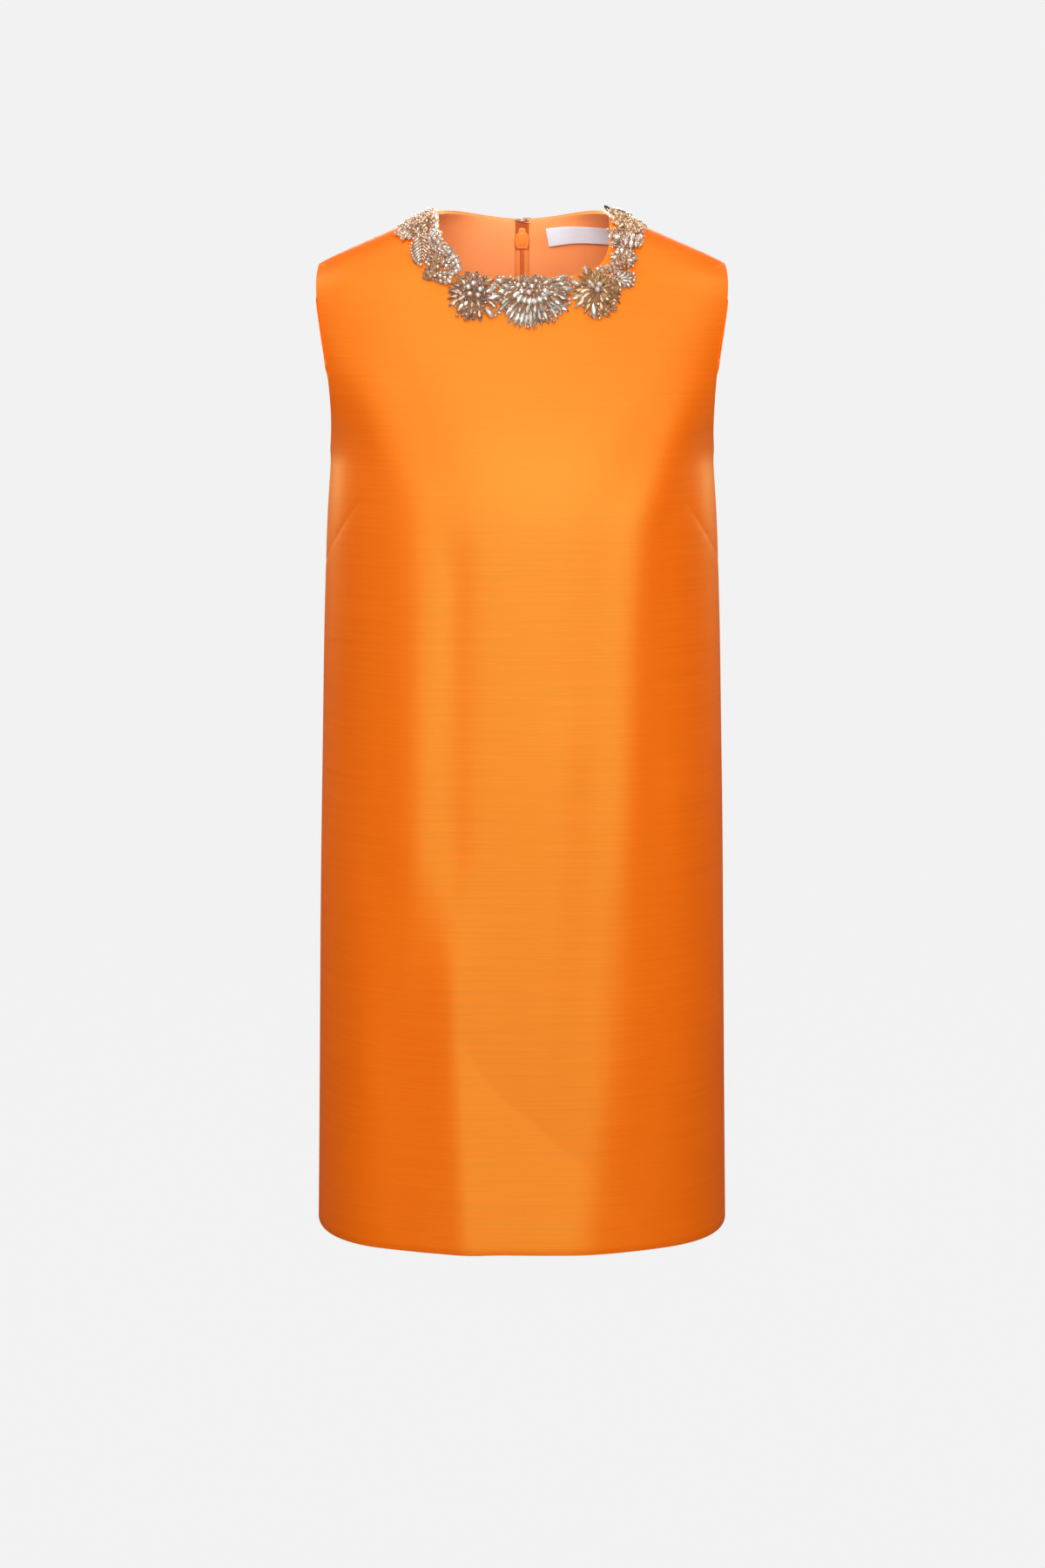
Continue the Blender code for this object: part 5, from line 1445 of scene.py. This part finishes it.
def stone_shapes(cut, length, width, axes, middle, colour, chance):
    """The stone and its cup, as shapes, with a colour and a painted glint brightness for each face."""
    count = LARGE_FACETS if max(length, width) > LARGE_STONE else FACETS
    if min(length, width) < SMALL_STONE:
        count = SMALL_FACETS
    half = np.array([length, width]) / 2
    height = STONE_HEIGHT[0] * min(length, width) + STONE_HEIGHT[1]
    along, side, out = axes
    start = 0.0 if cut in ("navette", "drop") else 0.5

    def ring(scale, level, shift, grow):
        flat = outline(cut, count, start + shift) * (half * scale + grow)
        return middle + flat[:, :1] * along + flat[:, 1:] * side + level * height * out

    rings = [ring(scale, level, shift, 0.0) for scale, level, shift in STONE_RINGS]
    faces, painted_glints = [], []
    for k in range(count):
        after = (k + 1) % count
        girdle, girdle_after = count + k, count + after
        crown, crown_after = 2 * count + k, 2 * count + after
        table, table_after = 3 * count + k, 3 * count + after
        faces.append((k, after, girdle_after, girdle))
        faces += [(girdle, girdle_after, crown), (crown, girdle_after, crown_after)]
        faces += [(crown, crown_after, table_after), (crown, table_after, table)]
        painted_glints += [FOOT_PAINTED_GLINT, *(chance.choice(CROWN_PAINTED_GLINTS, 4) * chance.uniform(*CROWN_GLINT_SPREAD, 4))]
    faces += [tuple(range(3 * count, 4 * count)), tuple(range(count - 1, -1, -1))]
    painted_glints += [chance.choice(TABLE_PAINTED_GLINTS), UNDER_PAINTED_GLINT]
    stone = (np.concatenate(rings), faces, 0, False, [colour] * len(faces), painted_glints)
    cup = np.concatenate([ring(scale, level, 0.0, grow) for scale, level, grow in CUP_RINGS])
    return [stone, plain(cup, bands(len(CUP_RINGS), count), 1)]


class Crowd:
    """The places that stones take up so far, as balls on the cloth."""

    def __init__(self):
        self.balls = np.empty((0, 4))

    def add(self, points, radius):
        self.balls = np.vstack([self.balls, *([*point, radius] for point in points)])

    def free(self, point, radius):
        """Whether a round stone fits at a point of the cloth."""
        gaps = np.linalg.norm(self.balls[:, :3] - point, axis=1)
        return (gaps >= (radius + self.balls[:, 3]) * CROWDING).all()


class Motif:
    """A sewn-on motif: where it lies, how high its net stands, and the stones on it so far."""

    def __init__(self, row):
        self.size = dict(zip(MOTIF_COLUMNS, row))
        self.centre = front_point(self.size["x"] * MM, self.size["drop"] * MM)
        normal = normals(self.centre[None])[0]
        self.up = unit(np.array([0, 0, 1.0]) - normal * normal[2])
        self.across = np.cross(self.up, normal)
        if self.across[0] < 0:
            self.across = -self.across
        self.low = -np.array([self.size["left"], self.size["down"]]) * MM
        self.high = np.array([self.size["right"], self.size["up"]]) * MM
        self.shapes = []

    def local(self, x, drop):
        """The place on the motif, in metres across and up it, of a place seen from the front."""
        off = front_point(x * MM, drop * MM) - self.centre
        return np.array([off @ self.across, off @ self.up])

    def shares(self, place):
        """How far out towards its outline a place is, and the outline's petal there."""
        size = self.size
        wide = place[0] / (size["right" if place[0] > 0 else "left"] * MM)
        tall = place[1] / (size["up" if place[1] > 0 else "down"] * MM)
        petal = math.cos(size["points"] * math.atan2(tall, wide))
        return math.hypot(wide, tall) / (1 - size["notch"] * (1 - petal) / 2), petal

    def rise(self, place):
        """How high the net stands over a place."""
        share, petal = self.shares(place)
        share = min(share, 1)
        edge, middle = self.size["edge_height"], self.size["middle_height"]
        dome = edge + (middle - edge) * (1 - share**2)
        return NET_HEIGHT * MM * (dome + RIDGE_SHARE * edge * share * petal)

    def inside(self, place):
        """Whether a small stone fits there."""
        return self.shares(place)[0] < 1.0

    def points(self, places, lifts):
        """The points that far above the form over some places."""
        places = np.asarray(places)
        on_cloth = snapped(self.centre + places[:, :1] * self.across + places[:, 1:] * self.up)
        return on_cloth + normals(on_cloth) * np.asarray(lifts)[:, None]

    def net(self):
        """The low mound of net under the stones."""
        size = self.size
        sectors = max(SECTORS_PER_POINT * size["points"], FEWEST_SECTORS)
        upper = []
        for share in NET_RINGS:
            for sector in range(sectors if share else 1):
                angle = TURN * sector / sectors
                petal = math.cos(size["points"] * angle)
                radius = share * (1 - size["notch"] * (1 - petal) / 2) * MM
                wide = size["right" if math.cos(angle) > 0 else "left"] * radius * math.cos(angle)
                tall = size["up" if math.sin(angle) > 0 else "down"] * radius * math.sin(angle)
                upper.append((wide, tall))
        lifts = [MOTIF_GAP + self.rise(place) for place in upper] + [MOTIF_GAP] * sectors
        points = self.points(upper + upper[-sectors:], lifts)
        starts = [1 + ring * sectors for ring in range(len(NET_RINGS))]
        faces = []
        for sector in range(sectors):
            after = (sector + 1) % sectors
            faces.append((0, starts[0] + sector, starts[0] + after))
            for inner, outer in zip(starts, starts[1:]):
                faces.append((inner + sector, outer + sector, outer + after, inner + after))
        faces.append(tuple(starts[-1] + sector for sector in reversed(range(sectors))))
        return [plain(points, faces, 2)]


class Crescent(Motif):
    """The crescent beside the right front neck edge. Its places are x and minus the drop, in metres."""

    def __init__(self):
        self.edges = table_curves(CRESCENT_COLUMNS, CRESCENT)
        self.low, self.high = (np.array(corner) * MM for corner in CRESCENT_REACH)
        self.shapes = []

    def local(self, x, drop):
        return np.array([x * MM, -drop * MM])

    def lane(self, place):
        """How far a place lies from the inner edge to the outer one, and from the top to the foot."""
        inner, outer = self.edges["inner_edge"](-place[1]), self.edges["outer_edge"](-place[1])
        start, end = CRESCENT[0][0] * MM, CRESCENT[-1][0] * MM
        return (-place[0] - inner) / (outer - inner), (-place[1] - start) / (end - start)

    def rise(self, place):
        lane, step = (min(max(share, 0), 1) for share in self.lane(place))
        crown = math.sin(math.pi * lane) * math.sin(math.pi * step)
        return NET_HEIGHT * (CRESCENT_EDGE_HEIGHT + (CRESCENT_HEIGHT - CRESCENT_EDGE_HEIGHT) * crown)

    def inside(self, place):
        return all(low < share < high for share, (low, high) in zip(self.lane(place), CRESCENT_ROOM))

    def points(self, places, lifts):
        places = np.asarray(places)
        on_cloth = front_point(places[:, 0], -places[:, 1])
        return on_cloth + normals(on_cloth) * np.asarray(lifts)[:, None]

    def net(self):
        places = []
        start, end = (CRESCENT[0][0] + CRESCENT_NET_INSET) * MM, (CRESCENT[-1][0] - CRESCENT_NET_INSET) * MM
        for drop in np.linspace(start, end, CRESCENT_STEPS + 1):
            inner, outer = self.edges["inner_edge"](drop), self.edges["outer_edge"](drop)
            shares = np.linspace(*CRESCENT_NET_LANES, CRESCENT_LANES + 1)
            places += [(-(inner + (outer - inner) * share), -drop) for share in shares]
        lifts = [MOTIF_GAP + self.rise(place) for place in places] + [MOTIF_GAP] * len(places)
        points = self.points(places + places, lifts)
        wide = CRESCENT_LANES + 1
        starts = [row * wide + lane for row in range(CRESCENT_STEPS) for lane in range(CRESCENT_LANES)]
        faces = [(first, first + 1, first + wide + 1, first + wide) for first in starts]
        count = len(places)
        faces += [tuple(count + corner for corner in reversed(face)) for face in faces]
        border = list(range(CRESCENT_LANES)) + [row * wide + CRESCENT_LANES for row in range(CRESCENT_STEPS)]
        border += [CRESCENT_STEPS * wide + lane for lane in range(CRESCENT_LANES, 0, -1)]
        border += [row * wide for row in range(CRESCENT_STEPS, 0, -1)]
        faces += [(a, b, count + b, count + a) for a, b in zip(border, border[1:] + border[:1])]
        return [plain(points, faces, 2)]


class Between(Crescent):
    """The cloth between the motifs, with small stones sewn straight on. Its places are as the crescent's."""

    def __init__(self, motifs):
        self.motifs = motifs
        self.low, self.high = (np.array(corner) * MM for corner in BAND_REACH)
        self.shapes = []

    def inside(self, place):
        x, y = place[0] / MM, -place[1] / MM
        crossings = 0
        for band in BANDS:
            for (x0, y0), (x1, y1) in zip(band, band[1:] + band[:1]):
                if (y0 > y) != (y1 > y) and x < x0 + (x1 - x0) * (y - y0) / (y1 - y0):
                    crossings += 1
        return crossings % 2 == 1

    def rise(self, place):
        under = [(motif, motif.local(place[0] / MM, -place[1] / MM)) for motif in self.motifs]
        return max([motif.rise(where) for motif, where in under if motif.inside(where)], default=0.0)

    def net(self):
        return []


def set_stone(motif, cut, inner, outer, width, lifts, palette, crowd, chance):
    """Sets a stone between two places of a motif, its ends lifted off the net."""
    above = [MOTIF_GAP + motif.rise(place) + lift * MM for place, lift in zip((inner, outer), lifts)]
    first, last = motif.points((inner, outer), above)
    middle = (first + last) / 2
    length = np.linalg.norm(last - first)
    along = (last - first) / length
    out = normals(middle[None])[0] + chance.normal(0, STONE_TILT, 3)
    out = unit(out - along * (out @ along))
    side = np.cross(out, along)
    colours = PALETTES[palette]
    colour = np.array(colours[chance.integers(len(colours))]) * chance.uniform(*STONE_COLOUR_SPREAD)
    colour = tuple(np.minimum(colour, 1))
    motif.shapes += stone_shapes(cut, length, width, (along, side, out), middle, colour, chance)
    flat, gap = (np.asarray(inner) + outer) / 2, np.asarray(outer) - inner
    shares = LONG_STONE_PLACES if length > LONG_STONE * width else (0,)
    crowd.add(motif.points([flat + gap * share for share in shares], [0] * len(shares)), width / 2)


def scatter(motif, sizes, palettes, tries, crowd, chance):
    """Fills what is left of a motif with small round stones."""
    places = chance.uniform(motif.low, motif.high, (tries, 2))
    for number, point in enumerate(motif.points(places, np.zeros(tries))):
        size = sizes[number * len(sizes) // tries] * MM
        place = places[number]
        if not motif.inside(place) or not crowd.free(point, size / 2):
            continue
        turn = chance.uniform(0, TURN)
        reach = np.array([math.cos(turn), math.sin(turn)]) * size / 2
        palette = palettes[chance.integers(len(palettes))]
        lift = chance.uniform(*SCATTER_LIFTS)
        set_stone(motif, "round", place - reach, place + reach, size, (lift, lift), palette, crowd, chance)


def collar(finishes):
    """Every motif of the collar as one piece each, by the name of the solid that it stands for."""
    chance = np.random.default_rng(SEED)
    crowd = Crowd()
    motifs = {row[0]: Motif(row) for row in MOTIFS}
    motifs["crescent_motif"] = Crescent()
    motifs["between"] = Between(list(motifs.values()))

    def lay(name, cut, inner, outer, width, lifts, palette):
        motif = motifs[name]
        above = [lift - LAID_SINK - motif.rise(place) / MM for lift, place in zip(lifts, (inner, outer))]
        set_stone(motif, cut, inner, outer, width * MM, above, palette, crowd, chance)

    for name, size, lift, palette, *places in ROUNDS:
        for x, drop in places:
            place, reach = motifs[name].local(x, drop), np.array([size / 2 * MM, 0])
            lay(name, "round", place - reach, place + reach, size, (lift, lift), palette)
    for name, cut, width, lift_first, lift_last, palette, *routes in LAID:
        for x_first, drop_first, x_last, drop_last in routes:
            ends = motifs[name].local(x_first, drop_first), motifs[name].local(x_last, drop_last)
            lay(name, cut, *ends, width, (lift_first, lift_last), palette)
    for name, length, width, lift_in, lift_out, palette, hub, *tips in PETALS:
        for tip in tips:
            outer = motifs[name].local(*tip)
            inwards = unit(motifs[name].local(*hub) - outer)
            inner = outer + inwards * length * MM * chance.uniform(*PETAL_SPREAD)
            lifts = chance.uniform(*PETAL_LIFT_SPREAD, 2) + (lift_in, lift_out)
            lay(name, "navette", inner, outer, width * chance.uniform(*PETAL_SPREAD), lifts, palette)
    for name, sizes, palettes, tries in SCATTERS:
        scatter(motifs[name], sizes, palettes, tries, crowd, chance)
    pieces = {}
    for name, motif in motifs.items():
        shapes = motif.shapes + motif.net()
        piece = joined(name.replace("_motif", "") + "_stones", [shape[:4] for shape in shapes], *finishes)
        corners = [len(face) for shape in shapes for face in shape[1]]
        colours = np.array([(*colour, 1) for shape in shapes for colour in shape[4]])
        painted_glints = np.array([painted_glint for shape in shapes for painted_glint in shape[5]])
        stone = piece.data.color_attributes.new("stone", "FLOAT_COLOR", "CORNER")
        stone.data.foreach_set("color", np.repeat(colours, corners, axis=0).astype(np.float32).reshape(-1))
        # Each face's painted glint, which the glass finish turns into light and dark facets.
        facet = piece.data.attributes.new("facet", "FLOAT", "FACE")
        facet.data.foreach_set("value", painted_glints.astype(np.float32))
        pieces[name] = piece
    return pieces


# ------------------------------------------------------------------------------------ studio

CAMERA_PLACE = (0.0004, -2.4, -0.1)
CAMERA_DIP = 9.967
CAMERA_LENS = 60
CAMERA_SENSOR = 36
CAMERA_NEAR = 0.05

# Square soft boxes round the dress: name, degrees round from the front towards the wearer's left, degrees
# up and watts.
LIGHTS = (
    ("rim_right", -130, 20, 60),
    ("rim_left", 130, 20, 60),
    ("low_front", 0, -25, 37),
    ("front_left", 25, 15, 22.5),
    ("front", 0, 10, 27),
    ("high_front", 0, 35, 13),
    ("front_right", -25, 15, 8.5),
    ("high_left", 55, 45, 14),
    ("high_right", -30, 45, 13),
    ("side_right", -85, 45, 15.5),
    ("side_left", 85, 45, 5),
    ("low_right", -55, 15, 5),
    ("top", 0, 88, 30),
    ("back", 180, 25, 25),
)
WARM_LIGHTS = ("rim_right", "rim_left")
WARM = (1, 0.70, 0.40)
LIT_POINT = (0, 0, -0.45)
LIGHT_DISTANCE = 3
LIGHT_SIZE = 1.3
# A small lamp over the front neck edge that fills the inside of the back.
NECK_LAMP = (0, -0.058, 0.016)
NECK_LAMP_AWAY = (0, -0.93, 0.36)
NECK_LAMP_SIZE = 0.13, 0.02
NECK_LAMP_WATTS = 0.085
PALE = 0.887
AMBIENT = 0.08
FLOOR_DROP = 1.4
FLOOR_HALF = 30
FLOOR_DARK, FLOOR_LIGHT = (0.001, 0.001, 0.001), (0.002, 0.002, 0.002)


def soft_box(name, place, away, size, watts):
    """A lamp that the camera doesn't see, facing against a direction."""
    box = bpy.data.lights.new(name + "_lamp", "AREA")
    box.shape = "RECTANGLE"
    box.size, box.size_y = size
    box.energy = watts
    if name in WARM_LIGHTS:
        box.color = WARM
    light = bpy.data.objects.new(box.name, box)
    light.location = place
    light.rotation_euler = away.to_track_quat("Z", "Y").to_euler()
    light.visible_camera = False
    bpy.context.scene.collection.objects.link(light)


def camera():
    """The camera, level across and dipped a little."""
    scene = bpy.context.scene
    scene.view_settings.view_transform = "Standard"
    viewer = bpy.data.objects.new("camera", bpy.data.cameras.new("camera"))
    viewer.data.lens = CAMERA_LENS
    viewer.data.sensor_width = CAMERA_SENSOR
    viewer.data.clip_start = CAMERA_NEAR
    viewer.location = CAMERA_PLACE
    viewer.rotation_euler = (math.radians(90 - CAMERA_DIP), 0, 0)
    scene.collection.objects.link(viewer)
    scene.camera = viewer


def lamps():
    """The soft boxes all round and the small lamp at the neck."""
    for name, round_degrees, up_degrees, watts in LIGHTS:
        turn, up = math.radians(round_degrees), math.radians(up_degrees)
        away = Vector((math.sin(turn) * math.cos(up), -math.cos(turn) * math.cos(up), math.sin(up)))
        soft_box(name, Vector(LIT_POINT) + away * LIGHT_DISTANCE, away, (LIGHT_SIZE, LIGHT_SIZE), watts)
    soft_box("neck", NECK_LAMP, Vector(NECK_LAMP_AWAY), NECK_LAMP_SIZE, NECK_LAMP_WATTS)


def pale_air():
    """Pale to the camera, and a faint even light on the dress."""
    world = bpy.data.worlds.new("pale_air")
    world.use_nodes = True
    bpy.context.scene.world = world
    nodes, links = world.node_tree.nodes, world.node_tree.links
    air = nodes["Background"]
    seen = nodes.new("ShaderNodeLightPath")
    blend = nodes.new("ShaderNodeMix")
    blend.inputs["A"].default_value = AMBIENT
    blend.inputs["B"].default_value = PALE
    links.new(seen.outputs["Is Camera Ray"], blend.inputs["Factor"])
    links.new(blend.outputs["Result"], air.inputs["Strength"])
    air.inputs["Color"].default_value = (1, 1, 1, 1)


def pale_floor():
    """A plain pale floor that throws no light on the dress."""
    floor_mesh = bpy.data.meshes.new("floor")
    corners = [(x * FLOOR_HALF, y * FLOOR_HALF, -FLOOR_DROP) for x, y in ((-1, -1), (1, -1), (1, 1), (-1, 1))]
    floor_mesh.from_pydata(corners, [], [(0, 1, 2, 3)])
    pale = Surface("pale_floor", Emission_Color=(1, 1, 1, 1), Emission_Strength=PALE, Specular_IOR_Level=0.0)
    speck = pale.cloud(40, 40, 40, 2)
    pale.feed(Base_Color=pale.mix(speck, FLOOR_DARK, FLOOR_LIGHT), Roughness=0.9 + speck * 0.05)
    floor = new_object("floor", floor_mesh, pale.material)
    floor.visible_diffuse = False
    floor.visible_glossy = False


# ------------------------------------------------------------------------------------ the dress

# Each cloth piece: the node that it stands for, its slot, its cut's width and length in metres, its area in
# square metres, how it is held and what it rests on.
CUTS = {
    "front": ("front_panel", "satin_shell", (0.58, 0.95), 0.45, "hung", ()),
    "back_left": ("back_panel_left", "satin_shell", (0.29, 0.95), 0.231, "hung", ()),
    "back_right": ("back_panel_right", "satin_shell", (0.29, 0.95), 0.231, "hung", ()),
    "facing_left": ("back_facing_left", "lining", (0.20, 0.12), 0.0128, "laid", ("back_left",)),
    "facing_right": ("back_facing_right", "lining", (0.20, 0.12), 0.0128, "laid", ("back_right",)),
    "tape_left": ("zip_tape_left", "zip_tape", (0.0125, 0.57), 0.0036, "laid", ("back_left",)),
    "tape_right": ("zip_tape_right", "zip_tape", (0.0125, 0.57), 0.0036, "laid", ("back_right",)),
}
# The motifs whose stones are mostly of one colour. The others are clear.
STONE_SLOTS = {
    "champagne_stones": ("small_flower_upper", "small_flower_lower", "flower_champagne", "small_flower_pink"),
    "gold_stones": ("flower_gold", "shoulder_cluster_left"),
}
# The stones that stand for no solid.
STONES_ALONE = "between"


def stone_slot(motif):
    """The name of the finish slot for a motif's stones."""
    return next((slot for slot, motifs in STONE_SLOTS.items() if motif in motifs), "clear_stones")


def place_piece(obj, slot, *nodes, body="garment"):
    """Attaches a piece to the body that it rides on and hides the imported solids that it stands for; its
    slot is not used.
    """
    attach(obj, body)
    if nodes:
        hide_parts(*nodes)
    return obj


def main():
    """Makes the studio and the dress in it."""
    for make in (camera, lamps, pale_air, pale_floor):
        make()
    satin, lining, tape = satin_finish(), lining_finish(), tape_finish()
    enamel, coil, thread, wire = enamel_finish(), coil_finish(), thread_finish(), wire_finish()
    grids = {"left": back_grid(True), "right": back_grid(False)}
    cloths = cloth_pieces(grids, satin, lining, tape)
    room = rounded(STEM_WIDTH / 2 + STEM_CLEARANCE, STEM_HEIGHT / 2 + STEM_CLEARANCE)
    slot_shape = plate_shape(room, [(level, 1) for level in STEM_SLOT_REACH])
    slot = joined("stem_slot", moved([slot_shape], back_place(SLIDER_DROP)))
    for name in ("back_left", "back_right", "tape_left", "tape_right"):
        cut_by(cloths[name], slot)
    bpy.data.objects.remove(slot)
    for name, (node, finish, flat, area, held, rests) in CUTS.items():
        piece = place_piece(cloths[name], finish, node)
        [cloths[rest] for rest in rests]
    for piece in sewing(grids, thread):
        place_piece(piece, "zip_tape")
    label = shell("label", label_grid(), LABEL_WALL, label_finish())
    place_piece(label, "label_cloth", "neck_label")
    for sign in (-1, 1):
        place_piece(coil_teeth(grids["left"], sign, coil), "zip_tape")
    place_piece(slider(enamel), "zip_enamel", "zip_slider")
    place_piece(pull_tab(enamel), "zip_enamel", "zip_pull", body="pull")
    eye, hook = hook_wires(wire)
    place_piece(eye, "silver_wire", "neck_eye")
    place_piece(hook, "silver_wire", "neck_hook")
    for node, piece in collar((stone_finish(), setting_finish(), backing_finish())).items():
        place_piece(piece, stone_slot(node), *([] if node == STONES_ALONE else [node]))


main()
bpy.context.view_layer.update()
